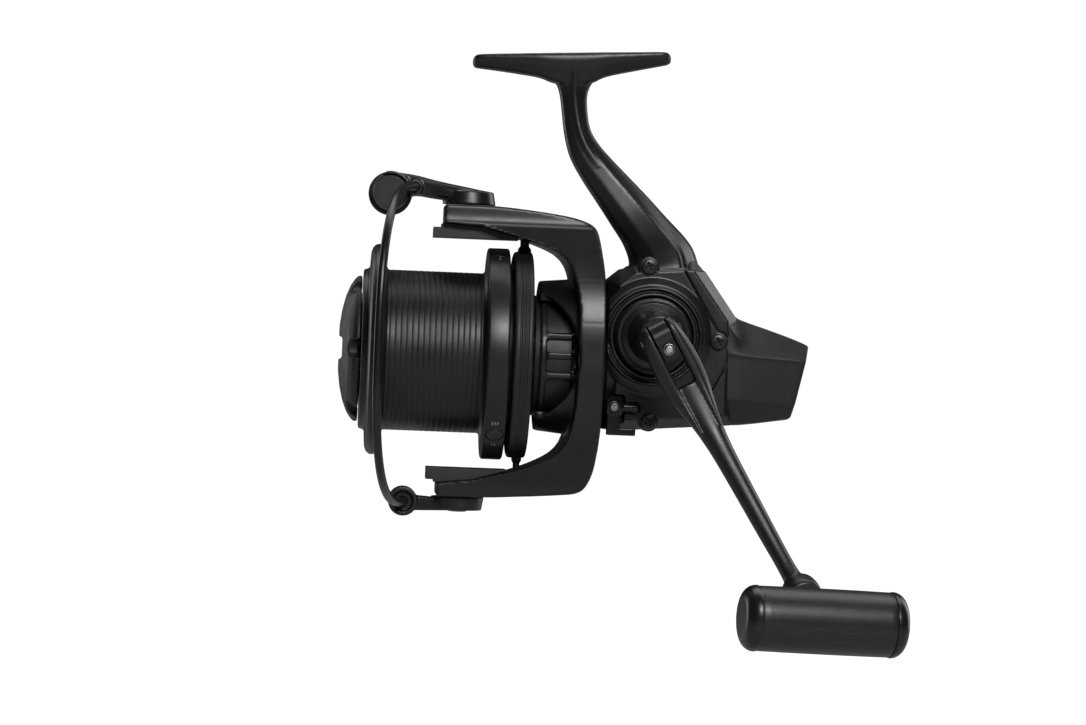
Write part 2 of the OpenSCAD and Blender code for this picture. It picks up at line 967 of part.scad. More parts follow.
module line_roller() {
    color(steel)
        translate([-62.8, 2.2, -axis_drop + 55.7])
            rotate([90, 0, 0])
                rotate_extrude()
                    polygon([[1.36, 0], [5.2, 0], [4.4, 1.2], [3.8, 2.4], [3.8, 4], [4.4, 5],
                        [5.2, 5.8], [1.36, 5.8]]);
}

module roller_screw() {
    color(paint) {
        translate([-62.8, 7.2, -axis_drop + 55.7])
            rotate([90, 0, 0])
                cylinder(r = 1.3, h = 12);
        translate([-62.8, -4, -axis_drop + 55.7])
            rotate([90, 0, 0])
                cylinder(r1 = 6.3, r2 = 5.8, h = 3);
    }
}

module bail_screws() {
    color(satin) {
        translate([-pivot_forward, 0, -axis_drop + 57.05])
            cross_screw(4.2, 1.1, 1, 4);
        translate([-pivot_forward, 0, -axis_drop - 55.65])
            rotate([180, 0, 0])
                cross_screw(4.2, 1.1, 1, 4);
    }
}

// Helical spring along z with flat-cut ends.
module coil(radius, thick, height, turns) {
    steps = turns * 16;
    loft([for (i = [0 : steps])
        let (turn = 360 * i / 16, rise = height * i / steps)
        [for (s = [0 : 7])
            [(radius + thick * cos(s * 45)) * cos(turn), (radius + thick * cos(s * 45)) * sin(turn),
                rise - thick * sin(s * 45)]]]);
}

module bail_spring() {
    color(steel)
        translate([-36, 0, -axis_drop + 46.8])
            rotate([0, 90, 0])
                coil(0.9, 0.25, 16, 8);
}

module spool() {
    color(paint)
        on_spool_axis()
            difference() {
                rotate_extrude()
                    polygon([[6, 31], [6, 40], [25.9, 40], [25.9, 28.4], [28.6, 22], [28.6, 12.4],
                        [30, 12.4], [30, 19.7], [flange_radius - 0.4, 19.7],
                        [flange_radius, 20.1], [flange_radius, 27], [flange_radius - 0.4, 27.4],
                        [30, 27.4], [arbor_radius, 28.4], [arbor_radius, 62.6], [31, 63.6],
                        [35.6, 63.8], [37, 64.6], [37.5, 66], [37.2, 67.4], [36, 68.5],
                        [33.6, 69], [28.4, 69.2], [28, 71], [27.4, 71.2], [21.2, 71.2],
                        [21.2, 57], [4.2, 57], [4.2, 50.1], [5.02, 50.1], [5.02, 44], [3.2, 44],
                        [3.2, 31]]);
                // sockets of the three line clips
                for (turn = clip_turns)
                    clip_place(turn)
                        translate([0, 0, -1.6])
                            cylinder(r = 3.3, h = 5);
                // weight-saving holes in the rear web
                for (turn = [0 : 45 : 315])
                    rotate([0, 0, turn])
                        translate([16, 0, 39])
                            cylinder(r = 4.4, h = 14);
            }
}

// Puts a clip on the flange's rim; the angle is counted from straight up.
module clip_place(angle) {
    rotate([0, 0, angle])
        translate([flange_radius, 0, 23.5])
            rotate([0, 90, 0])
                children();
}

// One round spring clip: a low button with a slot under its edge.
module clip_button(angle) {
    color(satin)
        on_spool_axis()
            clip_place(angle)
                difference() {
                    translate([0, 0, -1.5])
                        cylinder(r = 3, h = 1.55);
                    translate([-4, -4, -0.75])
                        cube([8, 3.4, 0.3]);
                }
}

module line_clip_a() clip_button(clip_turns[0]);

module line_clip_b() clip_button(clip_turns[1]);

module line_clip_c() clip_button(clip_turns[2]);

module spool_bearing() {
    color(steel)
        on_spool_axis()
            translate([0, 0, 44.05])
                bearing(5, shaft_radius + running, 5.9);
}

module spool_seat() {
    color(brass)
        on_spool_axis()
            difference() {
                translate([0, 0, 26])
                    cylinder(r = 9, h = 4.6);
                translate([0, 0, 25])
                    cylinder(r = shaft_radius + 0.02, h = 8);
                translate([0, 0, 24])
                    ring(7.6, 4.4, 4);
            }
}

module drag_discs() {
    color(satin)
        on_spool_axis()
            for (level = [57.2, 60.4, 63.6])
                translate([0, 0, level])
                    ring(20.8, 4.6, 1.1);
}

module drag_plates() {
    color(steel)
        on_spool_axis()
            for (level = [58.5, 61.7])
                translate([0, 0, level])
                    ring(20, shaft_radius + 0.02, 1.7);
}

module drag_retainer() {
    color(steel)
        on_spool_axis()
            translate([0, 0, 66])
                ring(21.18, 19.6, 0.9);
}

module click_wheel() {
    color(satin)
        on_spool_axis()
            translate([0, 0, 37.4])
                difference() {
                    cylinder(r = 10.5, h = 2.4);
                    translate([0, 0, -1])
                        cylinder(r = 6.02, h = 5);
                    for (notch = [0 : 18 : 342])
                        rotate([0, 0, notch])
                            translate([10.7, 0, -1])
                                cylinder(r = 0.9, h = 5);
                }
}

module click_tongue() {
    color(steel)
        on_spool_axis()
            difference() {
                union() {
                    translate([5.8, -1.6, 30.7])
                        cube([7, 3.2, 0.8]);
                    translate([11.6, -1.2, 31])
                        cube([1, 2.4, 8.4]);
                }
                translate([0, 0, 30])
                    cylinder(r = 6.8, h = 3);
            }
}

module drag_knob() {
    color(paint)
        on_spool_axis()
            difference() {
                rotate_extrude()
                    polygon([[3.4, 72.2], [22, 72.2], [22, 71.5], [knob_radius - 0.4, 71.5],
                        [knob_radius, 72.1], [knob_radius - 0.2, 73], [24.6, 74.2], [22.4, 75.6],
                        [18.6, 77.1], [13.6, 78.3], [8, 79], [3.4, 79.2]]);
                translate([-4, -30, 77.8])
                    cube([8, 60, 5]);
                translate([0, 0, 77.2])
                    cylinder(r = 7, h = 4);
                translate([0, 0, 70])
                    cylinder(r = 3.4, h = 10);
                for (notch = [0 : 60 : 300])
                    rotate([0, 0, notch + 30])
                        translate([25, 0, 70])
                            cylinder(r = 3.2, h = 12);
            }
}

module drag_spring() {
    color(steel)
        on_spool_axis()
            translate([0, 0, 67.3])
                coil(7, 0.5, 4.4, 3);
}

module drag_nut() {
    color(steel)
        on_spool_axis()
            difference() {
                translate([0, 0, 72.4])
                    cylinder(r = 3.36, h = 4.2);
                translate([0, 0, 72])
                    cylinder(r = shaft_radius + 0.06, h = 6);
            }
}

module handle_hub() {
    color(paint)
        on_crank() {
            difference() {
                rotate_extrude()
                    polygon([[3.05, 19.2], [7, 19.2], [7, 23.3], [13, 23.3], [13.4, 23.8],
                        [13.4, 26], [12.6, 27], [11.4, 27], [11.2, 28.4], [9.4, 29.2],
                        [7.6, 33], [7, 36], [7, pin_out - 6.4], [6.6, pin_out - 6],
                        [0, pin_out - 6], [0, 21.2], [3.05, 21.2]]);
                translate([6, 0, 0])
                    cylinder(r = 0.6, h = 20.6);
            }
            difference() {
                rotate([90, 0, 0])
                    translate([0, 0, -3])
                        linear_extrude(height = 6)
                            union() {
                                translate([0, pin_out])
                                    circle(r = 5.2);
                                translate([-5.2, pin_out - 6.5])
                                    square([10.4, 6.5]);
                                translate([0, pin_out - 6.5])
                                    square([8.2, 10.6]);
                            }
                rotate([90, 0, 0])
                    translate([0, pin_out, -5])
                        cylinder(r = 1.55, h = 10);
                translate([5, 0, pin_out - 3])
                    cylinder(r = 2.06, h = 12);
            }
        }
}

module fold_pin() {
    color(steel)
        on_crank()
            translate([0, 7.6, pin_out])
                rotate([90, 0, 0])
                    cylinder(r = 1.5, h = 15.2);
}

module hub_plunger() {
    color(steel)
        on_crank() {
            translate([5, 0, pin_out - 2.9])
                cylinder(r = 2, h = 7.4);
            translate([5, 0, pin_out + 4.4])
                cylinder(r1 = 2, r2 = 1.1, h = 0.9);
        }
}

module handle_arm() {
    color(paint)
        on_crank()
            difference() {
                union() {
                    for (side = [-8, 3.3])
                        translate([0, side, 0])
                            fork_prong();
                    hull() {
                        translate([20, -7.8, pin_out - 4.6])
                            cube([2, 15.6, 9.2]);
                        translate([31, -4.6, pin_out - 2])
                            cube([1, 9.2, 8]);
                    }
                    hull() {
                        translate([31, -4.6, pin_out - 2])
                            cube([1, 9.2, 8]);
                        translate([44, -3.6, pin_out + 3])
                            cube([1, 7.2, 7]);
                    }
                    hull() {
                        translate([44, -3.6, pin_out + 3])
                            cube([1, 7.2, 7]);
                        translate([89, -2.8, boss_out - 7])
                            cube([1, 5.6, 6]);
                    }
                    hull() {
                        translate([89, -2.8, boss_out - 7])
                            cube([1, 5.6, 6]);
                        at_boss(-4)
                            cylinder(r = 5, h = 7.4, $fn = 32);
                    }
                    at_boss(-5)
                        cylinder(r = 6.5, h = 10);
                }
                translate([0, 10, pin_out])
                    rotate([90, 0, 0])
                        cylinder(r = 1.55, h = 20);
                at_boss(-7)
                    cylinder(r = 2.52, h = 14);
                at_boss(-9)
                    cylinder(r = 3.8, h = 4);
            }
}

// Places a shape on the boss at the arm's end, in the arm's own frame.
module at_boss(level) {
    translate([crank_reach, 0, boss_out])
        rotate([0, knob_cant, 0])
            translate([0, 0, level])
                children();
}

// One prong of the crank's fork, rounded around the fold pin.
module fork_prong() {
    rotate([-90, 0, 0])
        translate([0, -pin_out, 0]) {
            cylinder(r = 5.4, h = 4.7);
            translate([0, -4.8, 0])
                cube([22, 9.6, 4.7]);
        }
}

module knob_shaft() {
    color(steel)
        on_knob() {
            translate([0, 0, -6])
                cylinder(r = 3.6, h = 0.9);
            translate([0, 0, -5.2])
                cylinder(r = 2.5, h = 38);
        }
}

module knob_neck() {
    color(satin)
        on_knob()
            difference() {
                union() {
                    translate([0, 0, 5.4])
                        cylinder(r1 = 5.6, r2 = 6.6, h = 12.4);
                    translate([0, 0, 17])
                        cylinder(r = 4.6, h = 18);
                }
                translate([0, 0, 5])
                    cylinder(r = 2.9, h = 29);
                translate([0, 0, 5.3])
                    cylinder(r = 4.02, h = 3.1);
                translate([0, 0, 30])
                    cylinder(r = 4.02, h = 4);
            }
}

module knob_barrel() {
    color(wood)
        difference() {
            on_barrel()
                translate([0, 0, -barrel_length / 2])
                    cylinder(r = barrel_radius, h = barrel_length);
            on_knob()
                translate([0, 0, 10])
                    cylinder(r = 6.7, h = 7.9);
            on_knob()
                translate([0, 0, 16])
                    cylinder(r = 4.62, h = 19.1);
        }
}

module knob_caps() {
    color(satin)
        for (way = [0, 180])
            on_barrel()
                rotate([0, way, 0])
                    translate([0, 0, barrel_length / 2 + 0.02])
                        rotate_extrude()
                            polygon([[0, 0], [11.1, 0], [11.1, 1.6], [10.6, 2.9], [9.6, 4],
                                [7.6, 4.8], [4.4, 5.3], [0, 5.5]]);
}

module knob_bearings() {
    color(steel)
        for (level = [5.36, 30.02])
            on_knob()
                translate([0, 0, level])
                    bearing(4, 2.55, 2.9);
}

body();
side_cover();
rear_cover();
body_screws();
dust_cap();
reverse_lever();
lever_screw();
drive_gear();
drive_bearings();
pinion_gear();
pinion_bearings();
clutch_ring();
clutch_sleeve();
idle_gear();
worm_shaft();
worm_bearings();
slider();
slider_pawl();
guide_rod();
main_shaft();
rotor();
rotor_nut();
guard_ring();
arm_covers();
bail_arm();
bail_holder();
bail_wire();
line_roller();
roller_screw();
bail_screws();
bail_spring();
spool();
line_clip_a();
line_clip_b();
line_clip_c();
spool_bearing();
spool_seat();
drag_discs();
drag_plates();
drag_retainer();
click_wheel();
click_tongue();
drag_knob();
drag_spring();
drag_nut();
handle_hub();
fold_pin();
hub_plunger();
handle_arm();
knob_shaft();
knob_neck();
knob_barrel();
knob_caps();
knob_bearings();
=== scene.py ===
"""Long-cast spinning reel: the looks of every piece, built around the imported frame."""
import json
import math

import bmesh
import bpy
from mathutils import Matrix, Vector


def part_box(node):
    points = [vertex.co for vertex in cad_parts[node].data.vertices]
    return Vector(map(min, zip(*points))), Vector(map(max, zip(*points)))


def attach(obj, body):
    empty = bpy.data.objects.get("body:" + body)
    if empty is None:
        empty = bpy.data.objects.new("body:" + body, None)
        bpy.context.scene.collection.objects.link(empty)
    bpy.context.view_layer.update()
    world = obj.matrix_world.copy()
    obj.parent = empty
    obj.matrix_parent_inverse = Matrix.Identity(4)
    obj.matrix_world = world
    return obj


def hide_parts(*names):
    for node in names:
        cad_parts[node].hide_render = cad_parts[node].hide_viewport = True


bl_info = {
    "name": "Spinning Reel Looks",
    "version": (1, 0, 0),
    "blender": (4, 5, 0),
    "location": "View3D > Sidebar > Reel",
    "description": "Builds the finished pieces and materials of a long-cast spinning reel",
    "category": "Add Mesh",
}

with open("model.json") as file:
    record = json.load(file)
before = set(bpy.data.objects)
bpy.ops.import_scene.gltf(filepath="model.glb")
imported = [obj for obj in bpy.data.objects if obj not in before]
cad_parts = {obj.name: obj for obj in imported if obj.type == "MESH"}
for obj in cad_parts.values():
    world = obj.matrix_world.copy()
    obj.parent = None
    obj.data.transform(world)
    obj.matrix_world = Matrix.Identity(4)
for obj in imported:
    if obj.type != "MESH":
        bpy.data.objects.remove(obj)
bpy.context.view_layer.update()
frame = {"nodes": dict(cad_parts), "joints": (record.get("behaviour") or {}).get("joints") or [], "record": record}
NODES = frame["nodes"]
JOINTS = {joint["name"]: joint for joint in frame["joints"]}
MM = 0.001
SAME_POINT = 1e-7
SAME_CAD_POINT = 2e-6
FLAT = math.radians(0.6)

FORWARD = Vector((-1, 0, 0))
UP = Vector((0, 0, 1))
OUTWARD = Vector((0, -1, 0))
SPOOL_CENTRE = Vector(JOINTS["spool_slip"]["pos_m"])
CRANK_CENTRE = Vector(JOINTS["handle_crank"]["pos_m"])
BOSS = Vector(JOINTS["knob_spin"]["pos_m"])
KNOB_AXIS = Vector(JOINTS["knob_spin"]["axis"]).normalized()
BAIL_PIVOT = Vector(JOINTS["bail_flip"]["pos_m"])
CLIPS = {name: Vector(JOINTS[f"clip_{name}_lift"]["axis"]).normalized() for name in "abc"}


# ---------------------------------------------------------------- meshes

def linked(name, data):
    """An object of the scene from a mesh, a lamp or a camera."""
    thing = bpy.data.objects.new(name, data)
    bpy.context.scene.collection.objects.link(thing)
    return thing


def new_piece(name, verts, faces):
    """A mesh object from points in metres, with its normals turned outwards."""
    mesh = bpy.data.meshes.new(name)
    mesh.from_pydata([tuple(v) for v in verts], [], faces)
    mesh.validate()
    work = bmesh.new()
    work.from_mesh(mesh)
    bmesh.ops.remove_doubles(work, verts=work.verts, dist=SAME_POINT)
    bmesh.ops.recalc_face_normals(work, faces=work.faces)
    work.to_mesh(mesh)
    work.free()
    return linked(name, mesh)


def box_piece(name, middle, along, across, tall):
    """A box from its middle and its three half edges."""
    corners = [middle + along * a + across * b + tall * c
               for a in (-1, 1) for b in (-1, 1) for c in (-1, 1)]
    faces = [(0, 1, 3, 2), (4, 6, 7, 5), (0, 4, 5, 1), (2, 3, 7, 6), (0, 2, 6, 4), (1, 5, 7, 3)]
    return new_piece(name, corners, faces)


def shade(piece, angle=32.0):
    """Smooth shading, kept sharp past the angle."""
    mesh = piece.data
    mesh.polygons.foreach_set("use_smooth", [True] * len(mesh.polygons))
    mesh.set_sharp_from_angle(angle=math.radians(angle))
    return piece


def apply_modifiers(piece):
    """Turns a piece and its modifiers into a plain mesh."""
    graph = bpy.context.evaluated_depsgraph_get()
    mesh = bpy.data.meshes.new_from_object(piece.evaluated_get(graph))
    piece.modifiers.clear()
    old = piece.data
    piece.data = mesh
    bpy.data.meshes.remove(old)
    mesh.name = piece.name
    return piece


def joined(name, pieces):
    """One object out of several, which are removed."""
    work = bmesh.new()
    for piece in pieces:
        work.from_mesh(piece.data)
    mesh = bpy.data.meshes.new(name)
    work.to_mesh(mesh)
    work.free()
    for piece in pieces:
        bpy.data.objects.remove(piece)
    return linked(name, mesh)


def mirrored(points):
    """Half an outline of (along, side) with its other half, run back on the other side."""
    return points + [(along, -side) for along, side in reversed(points)]


def cut_away(piece, cutters):
    """Cuts the cutters out of a piece, and removes them."""
    for cutter in cutters:
        cut = piece.modifiers.new("cut", "BOOLEAN")
        cut.operation = "DIFFERENCE"
        cut.object = cutter
    apply_modifiers(piece)
    for cutter in cutters:
        bpy.data.objects.remove(cutter)


def rounded(points, radius, steps=3):
    """The closed outline with each corner turned into a short curve."""
    most_of_edge = 0.45
    line = []
    for i, corner in enumerate(points):
        here = Vector(corner)
        before = Vector(points[i - 1]) - here
        after = Vector(points[(i + 1) % len(points)]) - here
        reach_in = min(radius, before.length * most_of_edge)
        reach_out = min(radius, after.length * most_of_edge)
        start = here + before.normalized() * reach_in
        end = here + after.normalized() * reach_out
        for step in range(steps + 1):
            t = step / steps
            line.append(start * (1 - t) ** 2 + here * 2 * t * (1 - t) + end * t * t)
    return line


def lathe(name, profile, centre, axis, turns=128):
    """Turns a closed profile of (along, radius) in millimetres round an axis."""
    side = axis.orthogonal().normalized()
    other = axis.cross(side)
    verts = []
    for turn in range(turns):
        angle = 2 * math.pi * turn / turns
        out = side * math.cos(angle) + other * math.sin(angle)
        verts += [centre + axis * (p[0] * MM) + out * (max(p[1], 0) * MM) for p in profile]
    count = len(profile)
    faces = []
    for turn in range(turns):
        here, there = turn * count, (turn + 1) % turns * count
        for i in range(count):
            j = (i + 1) % count
            if profile[i][1] <= 0 and profile[j][1] <= 0:
                continue
            faces.append((here + i, here + j, there + j, there + i))
    return new_piece(name, verts, faces)


def loft(name, sections):
    """A closed skin over sections that all have one number of points."""
    count = len(sections[0])
    verts = [point for section in sections for point in section]
    faces = []
    for i in range(len(sections) - 1):
        for j in range(count):
            k = (j + 1) % count
            faces.append((i * count + j, i * count + k, (i + 1) * count + k, (i + 1) * count + j))
    last = (len(sections) - 1) * count
    faces.append(tuple(range(count)))
    faces.append(tuple(last + j for j in range(count)))
    return new_piece(name, verts, faces)


def between(stations, steps):
    """A smooth run of values through the stations, by Catmull-Rom."""
    run = []
    for i in range(len(stations) - 1):
        a, b = stations[max(i - 1, 0)], stations[i]
        c, d = stations[i + 1], stations[min(i + 2, len(stations) - 1)]
        for step in range(steps):
            t = step / steps
            run.append([0.5 * (2 * q + (r - p) * t + (2 * p - 5 * q + 4 * r - s) * t * t
                               + (3 * q - p - 3 * r + s) * t ** 3)
                        for p, q, r, s in zip(a, b, c, d)])
    run.append(list(stations[-1]))
    return run


def cad_copy(node, name):
    """A copy of a CAD node's mesh with its doubles merged and its flats dissolved."""
    mesh = NODES[node].data.copy()
    mesh.name = name
    mesh.materials.clear()
    work = bmesh.new()
    work.from_mesh(mesh)
    bmesh.ops.remove_doubles(work, verts=work.verts, dist=SAME_CAD_POINT)
    bmesh.ops.dissolve_limit(work, angle_limit=FLAT, verts=work.verts, edges=work.edges)
    work.to_mesh(mesh)
    work.free()
    return linked(name, mesh)


def soften(piece, voxel, passes):
    """Remeshes a piece evenly and softens its edges, as on a casting."""
    remesh = piece.modifiers.new("even", "REMESH")
    remesh.mode = "VOXEL"
    remesh.voxel_size = voxel * MM
    smooth = piece.modifiers.new("soften", "SMOOTH")
    smooth.factor = 0.5
    smooth.iterations = passes
    apply_modifiers(piece)
    piece.data.polygons.foreach_set("use_smooth", [True] * len(piece.data.polygons))
    return piece


def cast(node, name, voxel=0.4, passes=6):
    """A CAD node's form as a softened casting."""
    return soften(cad_copy(node, name), voxel, passes)


def place(piece, body, slot, material, *nodes):
    """Gives a piece its material and body, and hides what it stands for; its slot is not used."""
    piece.data.materials.clear()
    piece.data.materials.append(material)
    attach(piece, body)
    if nodes:
        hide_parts(*nodes)
    return piece


# ------------------------------------------------------------- materials

def feed(tree, socket, value):
    """Sets a socket to a number, or links it to another socket."""
    if isinstance(value, (int, float)):
        socket.default_value = value
    else:
        tree.links.new(value, socket)


def group(name, inputs, outputs):
    """A shader group of float sockets, with a Vector input besides; gives its tree and ends."""
    tree = bpy.data.node_groups.new(name, "ShaderNodeTree")
    tree.interface.new_socket(name="Vector", in_out="INPUT", socket_type="NodeSocketVector")
    for label, default in inputs.items():
        socket = tree.interface.new_socket(name=label, in_out="INPUT", socket_type="NodeSocketFloat")
        socket.default_value = default
    for label in outputs:
        tree.interface.new_socket(name=label, in_out="OUTPUT", socket_type="NodeSocketFloat")
    return tree, tree.nodes.new("NodeGroupInput").outputs, tree.nodes.new("NodeGroupOutput").inputs


def maths(tree, operation, first, second=0.0):
    """One Math node; each of first and second is a socket or a number."""
    node = tree.nodes.new("ShaderNodeMath")
    node.operation = operation
    feed(tree, node.inputs[0], first)
    feed(tree, node.inputs[1], second)
    return node.outputs[0]


def clamped(tree, value):
    """The value held between 0 and 1."""
    node = tree.nodes.new("ShaderNodeClamp")
    tree.links.new(value, node.inputs[0])
    return node.outputs[0]


def stretched(tree, vector, scale):
    """A vector with a scale of its own on each axis."""
    node = tree.nodes.new("ShaderNodeMapping")
    node.inputs["Scale"].default_value = scale
    tree.links.new(vector, node.inputs["Vector"])
    return node.outputs["Vector"]


def noise(tree, vector, scale, detail=4.0, rough=0.55):
    """One 3-D noise; scale is a socket or a number."""
    node = tree.nodes.new("ShaderNodeTexNoise")
    node.inputs["Detail"].default_value = detail
    node.inputs["Roughness"].default_value = rough
    tree.links.new(vector, node.inputs["Vector"])
    feed(tree, node.inputs["Scale"], scale)
    return node.outputs["Fac"]


def blended(tree, first, second, share):
    """The first colour, covered by the plain second one as far as the share says."""
    node = tree.nodes.new("ShaderNodeMix")
    node.data_type = "RGBA"
    node.inputs["B"].default_value = (*second, 1)
    tree.links.new(first, node.inputs["A"])
    tree.links.new(share, node.inputs["Factor"])
    return node.outputs["Result"]


def paint_grain_group():
    """Fine orange peel, a slow drift of sheen and small specks of dust."""
    tree, given, out = group("paint_grain", {"Scale": 1800.0}, ("Height", "Drift", "Dust"))
    dust_size, rarity, contrast = 2600.0, 0.71, 14.0
    fine = noise(tree, given["Vector"], given["Scale"], 3.0, 0.6)
    broad = noise(tree, given["Vector"], 90.0, 4.0, 0.6)
    specks = noise(tree, given["Vector"], dust_size, 1.0, 0.5)
    dust = maths(tree, "MULTIPLY", maths(tree, "SUBTRACT", specks, rarity), contrast)
    tree.links.new(fine, out["Height"])
    tree.links.new(broad, out["Drift"])
    tree.links.new(clamped(tree, dust), out["Dust"])
    return tree


def rubbed_edge_highlight_group():
    """A mask that is 1 along sharp outer edges, in patches: rubbed paint and a painted edge highlight."""
    tree, given, out = group("edge_wear", {"Amount": 1.0}, ("Mask",))
    flat_pointiness, contrast = 0.53, 9.0
    pointiness = tree.nodes.new("ShaderNodeNewGeometry").outputs["Pointiness"]
    patches = noise(tree, given["Vector"], 260.0, 5.0, 0.65)
    edge = maths(tree, "MULTIPLY", maths(tree, "SUBTRACT", pointiness, flat_pointiness), contrast)
    mask = maths(tree, "MULTIPLY", edge, maths(tree, "MULTIPLY", patches, given["Amount"]))
    tree.links.new(clamped(tree, mask), out["Mask"])
    return tree


def turned_group():
    """Fine lathe marks that run round the axis along X."""
    tree, given, out = group("turned_marks", {"Scale": 1.0}, ("Height",))
    vector = stretched(tree, given["Vector"], (5200.0, 60.0, 60.0))
    tree.links.new(noise(tree, vector, given["Scale"], 2.0, 0.5), out["Height"])
    return tree


GROUP_MAKERS = {"paint_grain": paint_grain_group, "edge_wear": rubbed_edge_highlight_group, "turned_marks": turned_group}
GROUPS = {}
PAINT_RELIEF = 0.00006


def effect(tree, name, **values):
    """Places a shader group in a material and sets its plain inputs."""
    if name not in GROUPS:
        GROUPS[name] = GROUP_MAKERS[name]()
    node = tree.nodes.new("ShaderNodeGroup")
    node.node_tree = GROUPS[name]
    for label, value in values.items():
        feed(tree, node.inputs[label], value)
    return node.outputs


def start_material(name):
    """A new material with its object coordinates and its shader."""
    material = bpy.data.materials.new(name)
    material.use_nodes = True
    tree = material.node_tree
    shader = tree.nodes["Principled BSDF"]
    where = tree.nodes.new("ShaderNodeTexCoord").outputs["Object"]
    return material, tree, shader, where


def colour_ramp(tree, factor, stops):
    """A ramp from (position, colour) stops."""
    node = tree.nodes.new("ShaderNodeValToRGB")
    ramp = node.color_ramp
    while len(ramp.elements) < len(stops):
        ramp.elements.new(0.5)
    for element, (position, colour) in zip(ramp.elements, stops):
        element.position = position
        element.color = (*colour, 1.0)
    tree.links.new(factor, node.inputs["Fac"])
    return node.outputs["Color"]


def map_range(tree, value, low, high, to_low, to_high):
    """A clamped linear change of range."""
    node = tree.nodes.new("ShaderNodeMapRange")
    tree.links.new(value, node.inputs["Value"])
    for label, number in (("From Min", low), ("From Max", high), ("To Min", to_low), ("To Max", to_high)):
        node.inputs[label].default_value = number
    return node.outputs["Result"]


def bump(tree, shader, height, strength, distance, base=None):
    """A Bump node on the shader's normal."""
    node = tree.nodes.new("ShaderNodeBump")
    node.inputs["Strength"].default_value = strength
    node.inputs["Distance"].default_value = distance
    tree.links.new(height, node.inputs["Height"])
    if base is not None:
        tree.links.new(base, node.inputs["Normal"])
    tree.links.new(node.outputs["Normal"], shader.inputs["Normal"])


def soft_edges(tree, radius):
    """The normal with its edges rounded by a small radius."""
    node = tree.nodes.new("ShaderNodeBevel")
    node.samples = 6
    node.inputs["Radius"].default_value = radius
    return node.outputs["Normal"]


def scaled(colour, factor):
    """A colour made lighter or darker."""
    return [channel * factor for channel in colour]


def black_finish(name, colour, rough, grain=1800.0, relief=0.12, rubbed_edge_highlight_amount=0.5, edge=0.00035):
    """Black paint or plastic: fine grain, drifting sheen, lighter edges (rubbed paint and a painted edge
    highlight) and dust.
    """
    material, tree, shader, where = start_material(name)
    surface = effect(tree, "paint_grain", Vector=where, Scale=grain)
    rubbed_edge_highlight_mask = effect(tree, "edge_wear", Vector=where, Amount=rubbed_edge_highlight_amount)["Mask"]
    # The edge colour is lighter than the paint: partly rubbed paint, partly a painted highlight along the edges.
    rubbed_edge_highlight_colour = [channel * 5 + 0.03 for channel in colour]
    drift = map_range(tree, surface["Drift"], 0.3, 0.7, 0.8, 1.2)
    shades = colour_ramp(tree, drift, [(0.0, scaled(colour, 0.72)), (1.0, scaled(colour, 1.15))])
    paint = blended(tree, shades, rubbed_edge_highlight_colour, rubbed_edge_highlight_mask)
    dusty = blended(tree, paint, (0.16, 0.155, 0.15), maths(tree, "MULTIPLY", surface["Dust"], 0.35))
    tree.links.new(dusty, shader.inputs["Base Color"])
    tree.links.new(map_range(tree, surface["Drift"], 0.25, 0.75, rough * 0.86, rough * 1.14),
                   shader.inputs["Roughness"])
    bump(tree, shader, surface["Height"], relief, PAINT_RELIEF, soft_edges(tree, edge))
    return material


def metal_finish(name, colour, rough, turned=1.0):
    """Bare metal with lathe or brush marks and a patchy polish."""
    material, tree, shader, where = start_material(name)
    marks = effect(tree, "turned_marks", Vector=where, Scale=turned)["Height"]
    drift = effect(tree, "paint_grain", Vector=where, Scale=900.0)["Drift"]
    stops = [(0.3, scaled(colour, 0.78)), (0.7, colour)]
    tree.links.new(colour_ramp(tree, marks, stops), shader.inputs["Base Color"])
    shader.inputs["Metallic"].default_value = 1.0
    tree.links.new(map_range(tree, drift, 0.3, 0.7, rough * 0.75, rough * 1.3), shader.inputs["Roughness"])
    bump(tree, shader, marks, 0.25, PAINT_RELIEF / 2, soft_edges(tree, 0.0002))
    return material


def arbor_finish(colour, tint, pitch):
    """Spool barrel: dark paint with a faint brown tint in its fine turned lines."""
    material, tree, shader, where = start_material("arbor_lines")
    surface = effect(tree, "paint_grain", Vector=where, Scale=1500.0)
    split = tree.nodes.new("ShaderNodeSeparateXYZ")
    tree.links.new(where, split.inputs[0])
    wave = maths(tree, "SINE", maths(tree, "MULTIPLY", split.outputs["X"], 2 * math.pi / pitch))
    uneven = maths(tree, "ADD", maths(tree, "MULTIPLY", wave, 0.5), surface["Drift"])
    stops = [(0.0, colour), (0.82, colour), (1.0, tint)]
    tree.links.new(colour_ramp(tree, uneven, stops), shader.inputs["Base Color"])
    tree.links.new(map_range(tree, surface["Drift"], 0.3, 0.7, 0.36, 0.48), shader.inputs["Roughness"])
    bump(tree, shader, surface["Height"], 0.15, PAINT_RELIEF)
    return material


def wood_finish(dark, brown, pale):
    """Dark fine-grained wood with brown streaks along the barrel."""
    along, around = 3.4, 26.0
    middle = [(a + b) / 2 for a, b in zip(dark, brown)]
    material, tree, shader, _ = start_material("dark_wood")
    grain_map = tree.nodes.new("ShaderNodeUVMap")
    grain_map.uv_map = "grain"
    where = grain_map.outputs["UV"]
    streaks = noise(tree, stretched(tree, where, (along, around, 1.0)), 1.0, 8.0, 0.68)
    fibres = noise(tree, stretched(tree, where, (along * 4, around * 6, 1.0)), 1.0, 4.0, 0.7)
    blend = maths(tree, "ADD", maths(tree, "MULTIPLY", streaks, 0.72), maths(tree, "MULTIPLY", fibres, 0.28))
    stops = [(0.0, dark), (0.54, dark), (0.585, middle), (0.63, brown), (0.70, pale)]
    tree.links.new(colour_ramp(tree, blend, stops), shader.inputs["Base Color"])
    tree.links.new(map_range(tree, fibres, 0.3, 0.7, 0.30, 0.5), shader.inputs["Roughness"])
    shader.inputs["Coat Weight"].default_value = 0.15
    shader.inputs["Coat Roughness"].default_value = 0.25
    bump(tree, shader, fibres, 0.5, 0.00008)
    return material


MATERIALS = {}


